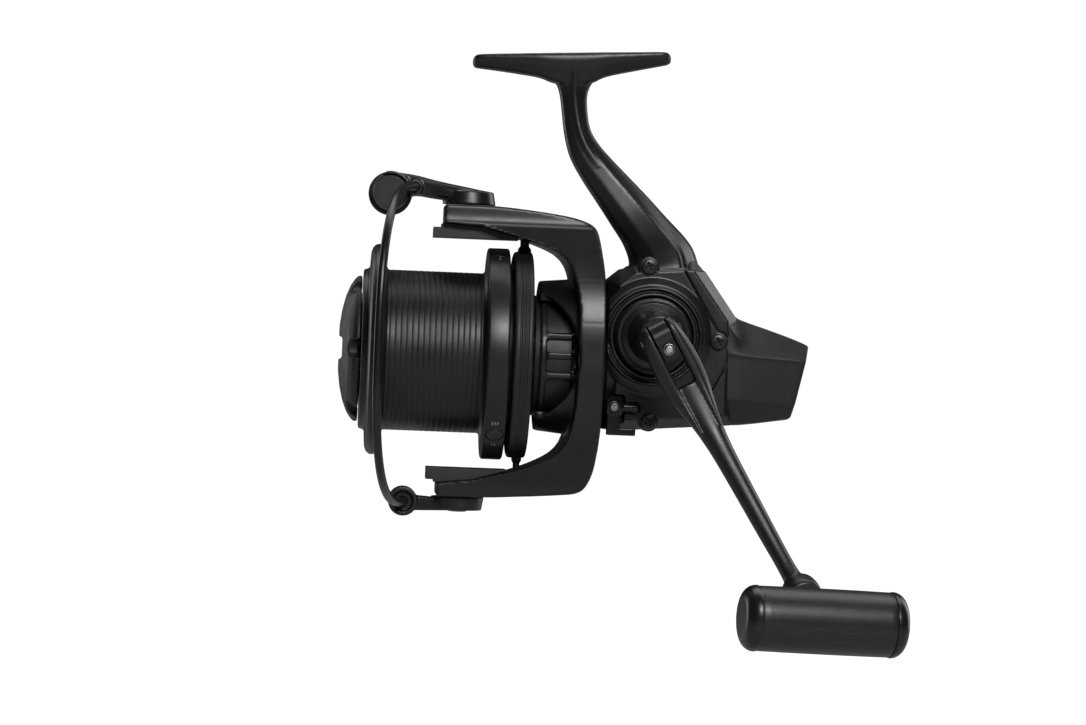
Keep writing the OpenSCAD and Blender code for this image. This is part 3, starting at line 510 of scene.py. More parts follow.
def build_materials(looks):
    """Every finish, from the colours that the user can change."""
    paint, plastic, steel, brass, mark = (
        list(tint) for tint in (looks.paint, looks.plastic, looks.steel, looks.brass, looks.mark))
    softer_black = scaled(plastic, 0.9)
    MATERIALS.update({
        "paint": black_finish("satin_paint", paint, looks.paint_roughness),
        "smooth": black_finish("smooth_paint", paint, looks.paint_roughness * 0.8, 2600.0, 0.05, 0.3),
        "satin": black_finish("satin_steel", scaled(paint, 1.3), 0.34, 2400.0, 0.08, 0.9, 0.0002),
        "plastic": black_finish("moulded_plastic", plastic, 0.5, 1500.0, 0.2, 0.25),
        "disc": black_finish("roller_cap", softer_black, 0.4, 2800.0, 0.12, 0.2),
        "gloss": black_finish("glossy_caps", scaled(paint, 0.9), 0.3, 1200.0, 0.03, 0.1),
        "rubber": black_finish("felt_and_rubber", softer_black, 0.8, 3200.0, 0.5, 0.1),
        "steel": metal_finish("bright_steel", steel, 0.26),
        "polished": metal_finish("polished_steel", steel, 0.34, 0.15),
        "dull_steel": metal_finish("dull_steel", scaled(steel, 0.62), 0.4),
        "brass": metal_finish("machined_brass", brass, 0.32),
        "mark": black_finish("pale_marks", mark, 0.5, 2400.0, 0.1, 0.0),
        "arbor": arbor_finish(scaled(paint, 0.9), list(looks.arbor_tint), looks.arbor_pitch),
        "wood": wood_finish(list(looks.wood_dark), list(looks.wood_brown), list(looks.wood_pale)),
    })


def paint_node(material, *nodes):
    """Gives CAD nodes that stay shown their material."""
    for node in nodes:
        mesh = NODES[node].data
        mesh.materials.clear()
        mesh.materials.append(MATERIALS[material])


# -------------------------------------------------------------- settings

def number(name, text, default, **more):
    """A plain number property."""
    return bpy.props.FloatProperty(name=name, description=text, default=default, **more)


def length(name, text, default):
    """A length property, in metres."""
    return number(name, text, default, subtype="DISTANCE", unit="LENGTH", precision=5)


def colour(name, text, default):
    """A colour property."""
    return bpy.props.FloatVectorProperty(name=name, description=text, default=default, subtype="COLOR",
                                         size=3, min=0.0, max=1.0)


class ReelLooks(bpy.types.PropertyGroup):
    """Colours and finishes."""
    paint: colour("Paint", "Satin black of the castings", (0.0062, 0.0062, 0.0066))
    plastic: colour("Plastic", "Moulded black of the covers", (0.0074, 0.0074, 0.0074))
    steel: colour("Steel", "Bare steel", (0.62, 0.62, 0.63))
    brass: colour("Brass", "Machined brass", (0.62, 0.44, 0.2))
    mark: colour("Marks", "Printed tick marks", (0.32, 0.33, 0.34))
    arbor_tint: colour("Arbor tint", "Tint in the lines of the spool barrel", (0.016, 0.0145, 0.0135))
    wood_dark: colour("Wood, dark", "Darkest grain of the knob", (0.0085, 0.0075, 0.007))
    wood_brown: colour("Wood, brown", "Brown streaks of the knob", (0.034, 0.024, 0.017))
    wood_pale: colour("Wood, pale", "Palest streaks of the knob", (0.17, 0.125, 0.09))
    paint_roughness: number("Paint roughness", "How matt the paint is", 0.36, min=0.1, max=0.9)
    arbor_pitch: length("Arbor pitch", "Distance between the lines of the spool barrel", 0.002)


class ReelShapes(bpy.types.PropertyGroup):
    """Sizes of details that the frame doesn't fix."""
    groove: length("Line depth", "Depth of the fine lines on the spool barrel", 0.00014)
    softness: length("Casting grid", "Grid of the softened castings", 0.0004)
    body_grid: length("Body grid", "Grid of the body's softened casting", 0.0005)
    screw_head: length("Screw head", "Radius of the housing screws' heads", 0.0028)
    mark_width: length("Mark width", "Width of a printed tick mark", 0.00035)


class ReelStage(bpy.types.PropertyGroup):
    """Camera distance, angles and lens."""
    distance: length("Distance", "Camera distance from the reel", 1.452)
    azimuth: number("Azimuth", "Camera angle round the reel, in degrees", -3.0)
    elevation: number("Elevation", "Camera height angle, in degrees", 0.3)
    roll: number("Roll", "Turn of the camera about its view, in degrees", 2.3)
    lens: number("Lens", "Focal length in millimetres", 135.0)


# --------------------------------------------------------------- pieces

STEM_STATIONS = [
    # x, z, half depth, half width, tilt
    (0.6, -4, 11.5, 6.6, 0), (0.7, -7.4, 8.6, 5.6, 0), (0.8, -10.2, 6.6, 5.0, 0),
    (0.9, -14.5, 5.0, 4.7, 0),
    (1.6, -21, 4.6, 4.7, 3), (2.9, -28, 4.8, 4.9, 12), (5.7, -34.5, 5.7, 5.4, 24), (10.3, -40.8, 6.5, 6, 32),
    (16.2, -47.7, 7.3, 7, 36), (22.6, -55.2, 8.2, 8.8, 37), (28.8, -62.8, 9.1, 12.4, 35),
    (34.0, -70.4, 11.3, 17.6, 20), (34.9, -76.6, 13.6, 20.6, 4), (36, -84, 17.9, 20.9, 0),
    (37, -91, 21.6, 20.9, 0),
]
REAR_STATIONS = [
    # x, half width, half width on top, shoulder, its drop, top, upper crease, lower crease, underside
    (40.5, 20.9, 14.4, 20.6, 4.4, -75.6, -103.6, -119.6, -128.2),
    (44.6, 21.2, 14.8, 21.0, 4.4, -72.3, -103.8, -119.8, -129.0),
    (48.6, 21.4, 15.2, 21.2, 5.0, -75.6, -104.0, -120.0, -129.6),
    (52.6, 21.5, 15.3, 21.2, 5.4, -81.4, -104.2, -120.2, -129.8),
    (57, 21.5, 15.3, 21.1, 6.0, -87.4, -104.5, -120.5, -129.9),
    (60.4, 21.4, 15.1, 20.3, 6.8, -91.4, -104.8, -120.8, -129.9),
    (64, 21.0, 14.7, 18.2, 6.6, -93.2, -105.1, -121.0, -129.8),
    (72, 19.7, 14.3, 16.9, 4.8, -95.8, -105.6, -121.3, -129.0),
    (80, 18.4, 13.6, 15.9, 3.6, -98.4, -106.0, -121.5, -128.0),
    (85.8, 17.4, 13.0, 15.1, 2.6, -100.5, -106.4, -121.6, -127.2),
    (86.8, 16.7, 12.3, 14.4, 2.3, -101.3, -106.6, -121.2, -126.4),
]
STEM_HALF_SECTION = [(-1, 0.26), (-0.86, 0.74), (-0.36, 1), (0.44, 0.98), (0.5, 0.88), (0.56, 0.9),
                     (0.9, 0.6), (1, 0.3)]
FOOT_STATIONS = [
    # x, half width, top, underside
    (-35.6, 2.0, -2.3, -3.2), (-35.3, 3.2, -1.1, -4.1), (-34.4, 4.6, -0.3, -4.7), (-32.2, 5.5, 0, -5.0),
    (-22, 6.8, 0, -6.5), (-12, 7.8, 0, -8.3), (-7, 8, 0, -10.2), (0, 8, 0, -11.2), (7, 8, 0, -10.4),
    (12, 7.8, 0, -8.3), (22, 6.8, 0, -6.4), (32.2, 5.6, 0, -4.7), (34.1, 4.6, -0.5, -4.3),
    (34.9, 3.2, -1.3, -3.8), (35.1, 2.0, -2.2, -3.2),
]


def stem_piece():
    """The stem as one smooth run with a crease behind its flank."""
    outline = rounded(mirrored(STEM_HALF_SECTION), 0.1, 3)
    sections = []
    for x, z, deep, wide, tilt in between(STEM_STATIONS, 6):
        lean = math.radians(tilt)
        sections.append([Vector((x + p[0] * deep * math.cos(lean), -p[1] * wide,
                                 z + p[0] * deep * math.sin(lean))) * MM for p in outline])
    return loft("stem_run", sections)


def foot_piece():
    """The rod foot, leaned as the frame's face is."""
    lean = Vector(frame["record"]["mounts"][0]["axis"])
    turn = UP.rotation_difference(lean).to_matrix()
    sections = []
    for x, wide, top, under in between(FOOT_STATIONS, 4):
        deep = under - top
        half = [(under, -wide * 0.6), (top + deep * 0.42, -wide * 0.97), (top + deep * 0.16, -wide),
                (top, -wide * 0.93)]
        sections.append([turn @ (Vector((x, y, z)) * MM) for z, y in rounded(mirrored(half), 0.9, 3)])
    return loft("foot_run", sections)


def rear_piece():
    """The rear block: a sloping shoulder, flat flanks with two creases and a slanted end."""
    end_slant, slant_from, slant_run, slant_level = 0.205, 60, 26, -103.4
    sections = []
    for x, wide, crown, knee, drop, top, upper, lower, under in between(REAR_STATIONS, 4):
        slant = end_slant * max(0.0, x - slant_from) / slant_run
        half = [(top + 0.35, crown * 0.5), (top, crown), (top - drop, knee), (upper, wide),
                (upper - 0.55, wide - 0.15), (upper - 0.7, wide - 0.35), (lower, wide - 0.9),
                (under + 0.5, wide - 4.6), (under, wide - 8)]
        sections.append([Vector((x + (z - slant_level) * slant, y, z)) * MM for z, y in mirrored(half)])
    return loft("rear_run", sections)


def housing_shell():
    """The frame's own gear housing, cut off where the stem begins."""
    stem_root = Vector((0, 0, -75.7)) * MM
    piece = cad_copy("body", "housing_shell")
    work = bmesh.new()
    work.from_mesh(piece.data)
    cut = bmesh.ops.bisect_plane(work, geom=work.verts[:] + work.edges[:] + work.faces[:],
                                 plane_co=stem_root, plane_no=UP, clear_outer=True)
    rim = [e for e in cut["geom_cut"] if isinstance(e, bmesh.types.BMEdge)]
    bmesh.ops.holes_fill(work, edges=rim)
    work.to_mesh(piece.data)
    work.free()
    return piece


WEB_STATIONS = [
    # z, middle x, half thickness, half width
    (-3.6, 0.9, 1.5, 7.7), (-6.5, 0.9, 1.5, 7.5), (-9.5, 0.9, 1.6, 6.7), (-14, 1.0, 1.7, 5.5),
    (-21, 1.9, 1.7, 5.4), (-28, 3.6, 1.8, 5.6), (-34, 6.4, 1.9, 5.9), (-40, 10.6, 1.9, 6.0),
]


def web_piece():
    """The narrow ridge that runs from the stem up into the foot, on both sides."""
    sections = []
    for z, middle, thick, wide in between(WEB_STATIONS, 4):
        points = [(-thick, 0), (-thick * 0.8, wide - 0.9), (-thick * 0.4, wide), (thick * 0.4, wide),
                  (thick * 0.8, wide - 0.9), (thick, 0)]
        ring = points + [(x, -y) for x, y in reversed(points[1:-1])]
        sections.append([Vector((middle + x, y, z)) * MM for x, y in ring])
    return loft("web_run", sections)


class REEL_OT_body(bpy.types.Operator):
    """Builds the foot, stem and housing as one casting, and the covers on it"""
    bl_idname = "reel.body"
    bl_label = "Foot, stem and housing"

    def execute(self, context):
        piece = joined("body_casting", [foot_piece(), stem_piece(), web_piece(), housing_shell()])
        soften(piece, context.scene.reel_shapes.body_grid / MM, 4)
        place(piece, "reel_body", "black_paint", MATERIALS["paint"], "body")
        cover = cast("side_cover", "crank_side_cover", 0.34, 2)
        place(cover, "reel_body", "black_paint", MATERIALS["paint"], "side_cover")
        block = soften(rear_piece(), context.scene.reel_shapes.softness / MM, 2)
        place(block, "reel_body", "black_plastic", MATERIALS["plastic"], "rear_cover")
        paint_node("satin", "dust_cap")
        return {"FINISHED"}


class REEL_OT_lever(bpy.types.Operator):
    """Builds the reverse lever and its small screw"""
    bl_idname = "reel.lever"
    bl_label = "Reverse lever"

    def execute(self, context):
        piece = cast("reverse_lever", "reverse_lever_arm", 0.22, 14)
        place(piece, "reverse_switch", "black_plastic", MATERIALS["smooth"], "reverse_lever")
        paint_node("steel", "lever_screw")
        return {"FINISHED"}


# Height above or below the spool axis and half width: the rotor's flats, and the run that rounds them.
ROTOR_FLATS = [(54, 11), (46, 12.5), (41, 17), (27, 26), (12, 30.5), (0, 30.5)]
ROTOR_ROUND = [(54, 11.7), (46, 11.9), (41, 16), (27, 25.8), (12, 30.4), (0, 30.4)]


def half_width(outline, rise):
    """Half width of an outline at a height over the spool axis, in millimetres."""
    for (high, first), (low, second) in zip(outline, outline[1:]):
        if low <= abs(rise) <= high:
            return first + (second - first) * (high - abs(rise)) / (high - low)
    return outline[0][1]


def round_flanks(piece):
    """Turns the rotor's flat flanks into one smooth curve, down to a depth under the skin."""
    skin = 3.0
    spread = [step / 10 for step in range(-10, 11)]
    weights = [1.05 - abs(part) for part in spread]
    for vertex in piece.data.vertices:
        rise = (vertex.co.z - SPOOL_CENTRE.z) / MM
        flank = half_width(ROTOR_FLATS, rise)
        depth = flank - abs(vertex.co.y) / MM
        if depth > skin:
            continue
        reach = 11 - 7 * min(1.0, max(0.0, (abs(rise) - 30) / 12))
        widths = [half_width(ROTOR_ROUND, rise + part * reach) for part in spread]
        smooth = sum(w * width for w, width in zip(weights, widths)) / sum(weights)
        shift = (smooth - flank) * (1 - max(0.0, depth) / skin) * MM
        vertex.co.y += shift if vertex.co.y > 0 else -shift


def bell_liner():
    """A dark ring behind the rotor's window: painted shade that stands for the dark inside of the rotor."""
    wall = [(-2.8, 20.2), (-2.8, 21.4), (10.2, 21.4), (10.2, 20.2)]
    return shade(lathe("bell_liner", rounded(wall, 0.3, 2), SPOOL_CENTRE, FORWARD, 96), 40)


def guard_ring():
    """The ribbed line guard and the two posts that hold it between the rotor's arms."""
    inner, outer, middle = 32.4, 36.7, 14.3
    profile = [(11.4, inner), (11.4, 35.6), (11.7, 36.5), (12.6, outer)]
    for ridge in (13.4, 14.6, 15.8):
        profile += [(ridge - 0.35, outer), (ridge - 0.2, outer - 0.25), (ridge + 0.2, outer - 0.25),
                    (ridge + 0.35, outer)]
    profile += [(17.2, outer), (17.9, 36.4), (18.3, 35.4), (18.3, inner)]
    parts = [lathe("hoop", rounded(profile, 0.3, 2), SPOOL_CENTRE, FORWARD, 160)]
    low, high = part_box("guard_ring")
    foot = SPOOL_CENTRE + FORWARD * (middle * MM)
    for end, way, radius in ((high, UP, 1.6), (low, -UP, 1.2)):
        reach = abs(end.z - SPOOL_CENTRE.z) / MM
        neck = [(35, 0), (35, radius * 1.5), (37.6, radius * 1.5), (38.6, radius), (reach, radius),
                (reach, 0)]
        parts.append(lathe("post", rounded(neck, 0.25, 2), foot, way, 32))
    return shade(joined("guard_ring_hoop", parts), 40)


class REEL_OT_rotor(bpy.types.Operator):
    """Finishes the rotor, its covers, nut and guard ring"""
    bl_idname = "reel.rotor"
    bl_label = "Rotor"

    def execute(self, context):
        frame_cast = cast("rotor", "rotor_casting", 0.55, 6)
        round_flanks(frame_cast)
        place(frame_cast, "rotor_unit", "black_paint", MATERIALS["paint"], "rotor")
        paint_node("plastic", "arm_covers")
        paint_node("steel", "rotor_nut", "bail_spring")
        # The dark ring is painted shade behind the rotor's window.
        place(bell_liner(), "rotor_unit", "black_plastic", MATERIALS["plastic"])
        place(guard_ring(), "rotor_unit", "black_plastic", MATERIALS["plastic"], "guard_ring")
        return {"FINISHED"}


LEVER_STATIONS = [
    # x, middle y, half width, top and underside above the spool axis
    (-27.5, 0, 3.4, 57.6, 54.6), (-31, 0, 6.4, 58.1, 54.0), (-36, 0, 7.2, 59.0, 53.6),
    (-42, 0.1, 6.6, 60.0, 53.8), (-48, 0.6, 5.2, 61.2, 54.4), (-53, 1.6, 4.0, 62.4, 55.0),
    (-57.5, 3.4, 2.6, 63.2, 54.2), (-61, 4.3, 1.7, 63.5, 51.4), (-64.5, 4.3, 1.7, 63.2, 49.6),
    (-67.6, 4.3, 1.6, 61.4, 50.6),
]


def lever_skin():
    """The cast top of the bail lever, from its boss to the hood over the roller."""
    sections = []
    for x, middle, wide, top, under in between(LEVER_STATIONS, 5):
        drop = top - under
        points = [(-wide, under + drop * 0.2), (-wide, top - drop * 0.35),
                  (-wide * 0.55, top - drop * 0.06), (0, top), (wide * 0.55, top - drop * 0.06),
                  (wide, top - drop * 0.35), (wide, under + drop * 0.2), (wide * 0.6, under),
                  (-wide * 0.6, under)]
        sections.append([SPOOL_CENTRE + Vector((x, middle + p[0], p[1])) * MM
                         for p in rounded(points, 0.7, 2)])
    return loft("lever_skin", sections)


class REEL_OT_bail(bpy.types.Operator):
    """Builds the bail's lever and holder as soft castings, and finishes the roller and its cap"""
    bl_idname = "reel.bail"
    bl_label = "Bail arms"

    def execute(self, context):
        grid = context.scene.reel_shapes.softness / MM * 0.8
        lever = joined("bail_lever", [cad_copy("bail_arm", "arm"), lever_skin()])
        soften(lever, grid, 9)
        place(lever, "bail", "black_paint", MATERIALS["paint"], "bail_arm")
        holder = cast("bail_holder", "wire_holder", grid, 7)
        place(holder, "bail", "black_paint", MATERIALS["paint"], "bail_holder")
        paint_node("disc", "roller_screw")
        paint_node("dull_steel", "line_roller")
        return {"FINISHED"}


def wire_bow(radius):
    """The wire's middle line: a superellipse between two short straight ends."""
    low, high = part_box("bail_wire")
    back, front, bow = high.x - radius, low.x + radius, low.y + radius
    middle, half = (low.z + high.z) / 2, (high.z - low.z) / 2 - radius
    tip, bend, root, fullness, steps = 1 * MM, -4 * MM, -8 * MM, 2.8, 110
    line = [Vector((back, tip, middle + half)), Vector((back, bend, middle + half))]
    for i in range(steps + 1):
        rise = math.cos(math.pi * i / steps)
        swell = max(0.0, 1 - abs(rise) ** fullness) ** (1 / fullness)
        line.append(Vector((back + (front - back) * swell, root + (bow - root) * swell,
                            middle + half * rise)))
    return line + [Vector((back, bend, middle - half)), Vector((back, tip, middle - half))]


def wire_sections(radius, points=20):
    """Round sections along the bow, square to it."""
    line = wire_bow(radius)
    flat = Vector((0.9866, -0.1632, 0))
    sections = []
    for i, point in enumerate(line):
        ahead = (line[min(i + 1, len(line) - 1)] - line[max(i - 1, 0)]).normalized()
        side = ahead.cross(flat).normalized()
        up = side.cross(ahead)
        sections.append([point + radius * (math.cos(a) * side + math.sin(a) * up)
                         for a in (2 * math.pi * s / points for s in range(points))])
    return sections


class REEL_OT_wire(bpy.types.Operator):
    """Sweeps the bail wire along its bow"""
    bl_idname = "reel.wire"
    bl_label = "Bail wire"

    def execute(self, context):
        piece = shade(loft("bail_wire_bow", wire_sections(1.5 * MM)), 50)
        place(piece, "bail", "black_paint", MATERIALS["gloss"], "bail_wire")
        return {"FINISHED"}


ARBOR = 28.5
ARBOR_REAR, ARBOR_FRONT = 28.6, 62.4
FLANGE = 37.6
CLIP_SEAT = SPOOL_CENTRE + FORWARD * (23.5 * MM)


def spool_profile(pitch, depth):
    """Half section of the spool as (forward, radius): flange, lined barrel, lip and hollow skirt."""
    profile = [(12.4, 28.6), (12.4, 30), (19.7, 30), (19.7, FLANGE - 0.5), (20.2, FLANGE), (26.9, FLANGE),
               (27.4, FLANGE - 0.5), (27.5, 30.4), (ARBOR_REAR, ARBOR)]
    line = 29.4
    while line < 62:
        profile += [(line, ARBOR), (line + 0.16, ARBOR - depth), (line + 0.42, ARBOR)]
        line += pitch
    profile += [(ARBOR_FRONT, ARBOR), (63.4, 30.6), (63.7, 33), (63.8, 35.4), (64.5, 36.9), (65.7, 37.5),
                (67, 37.3), (68.1, 36.3), (68.7, 34.6), (68.9, 31.6), (69.0, 29.2), (69.6, 28.6),
                (70.9, 28.3), (71.2, 27.6), (71.2, 21.2), (57, 21.2), (57, 4.2), (50.1, 4.2),
                (50.1, 5.02), (44, 5.02), (44, 3.2), (31, 3.2), (31, 6), (40, 6), (40, 25.9),
                (28.4, 25.9), (22, 28.6)]
    return profile


def spool_cutters():
    """The sockets of the line clips and the round holes of the rear web."""
    cutters = [lathe("cutter", [(36, 0), (36, 3.25), (40, 3.25), (40, 0)], CLIP_SEAT, way, 48)
               for way in CLIPS.values()]
    holes, ring, radius = 8, 16, 4.4
    for hole in range(holes):
        angle = hole * 2 * math.pi / holes
        seat = SPOOL_CENTRE + (UP * math.cos(angle) + OUTWARD * math.sin(angle)) * (ring * MM)
        cutters.append(lathe("cutter", [(36, 0), (36, radius), (53, radius), (53, 0)], seat, FORWARD, 40))
    return cutters


class REEL_OT_spool(bpy.types.Operator):
    """Turns the spool with its fine barrel lines, lip and clip sockets"""
    bl_idname = "reel.spool"
    bl_label = "Spool"

    def execute(self, context):
        pitch = context.scene.reel_looks.arbor_pitch / MM
        depth = context.scene.reel_shapes.groove / MM
        outline = rounded(spool_profile(pitch, depth), 0.35, 2)
        piece = lathe("spool_body", outline, SPOOL_CENTRE, FORWARD, 192)
        cut_away(piece, [joined("cutter", spool_cutters())])
        shade(piece, 34)
        place(piece, "spool_unit", "black_paint", MATERIALS["paint"], "spool")
        piece.data.materials.append(MATERIALS["arbor"])
        for face in piece.data.polygons:
            middle = (face.center - SPOOL_CENTRE) / MM
            radius = math.hypot(middle.y, middle.z)
            if ARBOR_REAR < -middle.x < ARBOR_FRONT and ARBOR - 0.7 < radius < ARBOR + 0.1:
                face.material_index = 1
        return {"FINISHED"}


# Beside each clip: how many ticks, and how far round the flange they stand.
TICK_ROWS = {"a": [(1, -5.4)], "b": [(3, 5.8), (2, -5.8)], "c": [(2, 5.8)]}


def tick_row(way, count, offset, width):
    """One row of printed ticks on the spool's rear flange, beside a clip."""
    spacing, half_length, half_height = 0.95, 0.7, 0.03
    turn = offset / FLANGE
    out = (way * math.cos(turn) + FORWARD.cross(way) * math.sin(turn)).normalized()
    along = FORWARD.cross(out)
    ticks = []
    for tick in range(count):
        ahead = (tick - (count - 1) / 2) * spacing
        middle = CLIP_SEAT + (FORWARD * ahead + out * FLANGE) * MM
        ticks.append(box_piece("tick", middle, FORWARD * (width / 2), along * (half_length * MM),
                               out * (half_height * MM)))
    return ticks


class REEL_OT_clips(bpy.types.Operator):
    """Builds the line clips and the printed tick marks beside them"""
    bl_idname = "reel.clips"
    bl_label = "Line clips"

    def execute(self, context):
        ticks = []
        for name, way in CLIPS.items():
            profile = [(36.12, 0), (36.12, 3.0), (36.75, 3.0), (36.75, 2.7), (37.05, 2.7), (37.05, 3.0),
                       (37.45, 3.0), (37.62, 2.6), (37.5, 1.6), (37.42, 0)]
            clip = lathe(f"clip_button_{name}", rounded(profile, 0.12, 2), CLIP_SEAT, way, 48)
            shade(clip, 40)
            place(clip, f"clip_{name}", "black_satin", MATERIALS["smooth"], f"line_clip_{name}")
            for count, offset in TICK_ROWS[name]:
                ticks += tick_row(way, count, offset, context.scene.reel_shapes.mark_width)
        marks = joined("tick_marks", ticks)
        place(marks, "spool_unit", "black_paint", MATERIALS["mark"])
        return {"FINISHED"}


class REEL_OT_drag(bpy.types.Operator):
    """Finishes the drag knob and the brake inside the spool"""
    bl_idname = "reel.drag"
    bl_label = "Drag"

    def execute(self, context):
        piece = cast("drag_knob", "drag_knob_cap", 0.42, 3)
        place(piece, "drag", "black_plastic", MATERIALS["plastic"], "drag_knob")
        paint_node("rubber", "drag_discs")
        paint_node("steel", "drag_plates", "drag_retainer", "drag_spring", "drag_nut", "click_tongue")
        paint_node("dull_steel", "main_shaft", "spool_bearing")
        paint_node("brass", "click_wheel", "spool_seat")
        return {"FINISHED"}


ARM_STATIONS = [
    # along the arm, half width, middle out from the reel, half height
    (18.5, 7.6, 60, 4.6), (23, 6.9, 60.6, 4.5), (28, 5.9, 61.7, 4.2), (34, 4.9, 63.3, 3.8),
    (44, 3.9, 66.3, 3.4), (58, 3.5, 70.9, 3.2), (74, 3.2, 76.4, 3.0), (86, 3.0, 81.6, 3.0),
    (92, 3.3, 85.2, 3.2), (96.5, 4.2, 87.8, 3.4),
]
PRONG_STATIONS = [
    # along the arm, outer edge, half height, middle out from the reel
    (-5.3, 5.2, 1.2, 60), (-4.6, 5.8, 3.2, 60), (-2.8, 6.5, 4.6, 60), (0, 7.1, 5.2, 60),
    (6, 7.9, 5.1, 60), (13, 8.1, 4.9, 60), (19, 7.7, 4.7, 60.1), (25, 6.6, 4.4, 61),
    (31, 5.4, 4.0, 62.5), (36, 4.6, 3.6, 63.8),
]


def crank_way():
    """The arm's direction from the crank's axis, downwards."""
    way = OUTWARD.cross(Vector(JOINTS["handle_fold"]["axis"])).normalized()
    return way if way.z < 0 else -way


def crank_section(along, out, outline):
    """One section square to the arm, of (side, rise) points round a middle that is out from the reel."""
    arm = crank_way()
    across = arm.cross(OUTWARD)
    return [CRANK_CENTRE + (arm * along + across * side + OUTWARD * (out + rise)) * MM
            for side, rise in outline]


def crank_arm():
    """The ridged arm, from the fork's root to the knob's boss."""
    shape = rounded([(-1, -0.7), (-1, 0.1), (-0.6, 0.84), (0, 1), (0.6, 0.84), (1, 0.1), (1, -0.7),
                     (0.7, -1), (-0.7, -1)], 0.3, 3)
    return loft("arm", [crank_section(along, out, [(a * wide, b * tall) for a, b in shape])
                        for along, wide, out, tall in between(ARM_STATIONS, 4)])


def crank_prong(way):
    """One prong of the fork; way is 1 or -1."""
    inner = 3.4
    sections = []
    for along, outer, tall, out in between(PRONG_STATIONS, 4):
        outline = rounded([(inner, -tall), (inner, tall), (inner + (outer - inner) * 0.55, tall * 0.96),
                           (outer, tall * 0.42), (outer, -tall * 0.8), (outer - 0.6, -tall)], 0.5, 2)
        sections.append(crank_section(along, out, [(way * a, b) for a, b in outline]))
    return loft("prong", sections)


def crank_boss():
    """The round end that the knob's shaft stands on."""
    boss = [(-5, 0), (-5, 5.4), (-4.2, 6.3), (0, 6.5), (3.6, 6.3), (4.9, 5.2), (5, 0)]
    outward = KNOB_AXIS if KNOB_AXIS.y < 0 else -KNOB_AXIS
    return lathe("boss", rounded(boss, 0.6, 2), BOSS, outward, 48)


class REEL_OT_crank(bpy.types.Operator):
    """Builds the crank's fork and arm as a soft casting, and finishes its hub"""
    bl_idname = "reel.crank"
    bl_label = "Crank"

    def execute(self, context):
        arm = joined("crank_arm_casting", [crank_arm(), crank_prong(1), crank_prong(-1), crank_boss()])
        soften(arm, context.scene.reel_shapes.softness / MM * 0.7, 30)
        place(arm, "crank_arm", "black_paint", MATERIALS["disc"], "handle_arm")
        paint_node("smooth", "handle_hub")
        paint_node("satin", "fold_pin")
        paint_node("steel", "knob_shaft")
        paint_node("polished", "hub_plunger")
        return {"FINISHED"}


HALF_BARREL = 23.0


def knob_frame():
    """Middle and direction of the wooden barrel, from the frame's two caps."""
    low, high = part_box("knob_barrel")
    middle = (low + high) / 2
    caps = [vertex.co for vertex in NODES["knob_caps"].data.vertices]
    left = [corner for corner in caps if corner.x < middle.x]
    right = [corner for corner in caps if corner.x >= middle.x]
    start = sum(left, Vector()) / len(left)
    end = sum(right, Vector()) / len(right)
    return (start + end) / 2, (end - start).normalized()


def wooden_barrel(middle, axis):
    """The slightly swollen barrel, with a map that runs its grain along it."""
    radius, edge, swell, grain_length = 10.9, 0.3, 0.12, 50.0
    profile = [(-HALF_BARREL, 0), (-HALF_BARREL, radius - edge)]
    for step in range(-10, 11):
        profile.append((step * (HALF_BARREL - 0.4) / 10, radius - swell * (step / 10) ** 2))
    profile += [(HALF_BARREL, radius - edge), (HALF_BARREL, 0)]
    barrel = lathe("wooden_barrel", profile, middle, axis, 128)
    side = axis.orthogonal().normalized()
    other = axis.cross(side)
    grain = barrel.data.uv_layers.new(name="grain")
    for loop in barrel.data.loops:
        spot = barrel.data.vertices[loop.vertex_index].co - middle
        angle = math.atan2(spot.dot(other), spot.dot(side))
        grain.data[loop.index].uv = (spot.dot(axis) / (grain_length * MM), abs(angle) / math.pi)
    return shade(barrel, 40)


def end_cap(middle, way):
    """A smooth cap with a round shoulder, on the barrel's end in the given direction."""
    rim, shoulder, steps = 10.95, 4.5, 16
    outline = [(HALF_BARREL, 0), (HALF_BARREL, rim)]
    for step in range(steps + 1):
        angle = step * math.pi / (2 * steps)
        outline.append((HALF_BARREL + 0.4 + shoulder * math.sin(angle), 5.9 + 5.1 * math.cos(angle)))
    outline.append((HALF_BARREL + 0.4 + shoulder, 0))
    return lathe("cap", outline, middle, way, 96)


class REEL_OT_knob(bpy.types.Operator):
    """Builds the wooden barrel with its grain map and the glossy caps"""
    bl_idname = "reel.knob"
    bl_label = "Knob"

    def execute(self, context):
        middle, axis = knob_frame()
        barrel = wooden_barrel(middle, axis)
        place(barrel, "crank_knob", "wood", MATERIALS["wood"], "knob_barrel")
        caps = shade(joined("knob_end_caps", [end_cap(middle, axis), end_cap(middle, -axis)]), 40)
        place(caps, "crank_knob", "black_gloss", MATERIALS["gloss"], "knob_caps")
        paint_node("satin", "knob_neck")
        paint_node("steel", "knob_bearings")
        return {"FINISHED"}


class REEL_OT_drive(bpy.types.Operator):
    """Finishes the gears, shafts and bearings inside the housing"""
    bl_idname = "reel.drive"
    bl_label = "Drive train"

    def execute(self, context):
        paint_node("brass", "drive_gear", "pinion_gear", "idle_gear", "worm_bearings", "slider")
        paint_node("steel", "worm_shaft", "slider_pawl", "guide_rod", "clutch_sleeve")
        paint_node("dull_steel", "drive_bearings", "pinion_bearings", "clutch_ring")
        return {"FINISHED"}


def screw_mesh(head):
    """One cross-recessed pan head of few faces, at the origin, facing +Z."""
    rings = [(0.0, 0), (0.0, 1.0), (0.32, 1.0), (0.5, 0.9), (0.58, 0.72), (0.6, 0.5), (0.6, 0)]
    piece = lathe("screw", [(z * head / MM, r * head / MM) for z, r in rings], Vector(), UP, 40)
    slots = []
    for turn in (20, 110):
        spin = Matrix.Rotation(math.radians(turn), 3, "Z")
        along, across, tall = (spin @ Vector(edge) * head
                               for edge in ((0.56, 0, 0), (0, 0.13, 0), (0, 0, 0.34)))
        slots.append(box_piece("slot", UP * (head * 0.46), along, across, tall))
    cut_away(piece, slots)
    return shade(piece, 30)


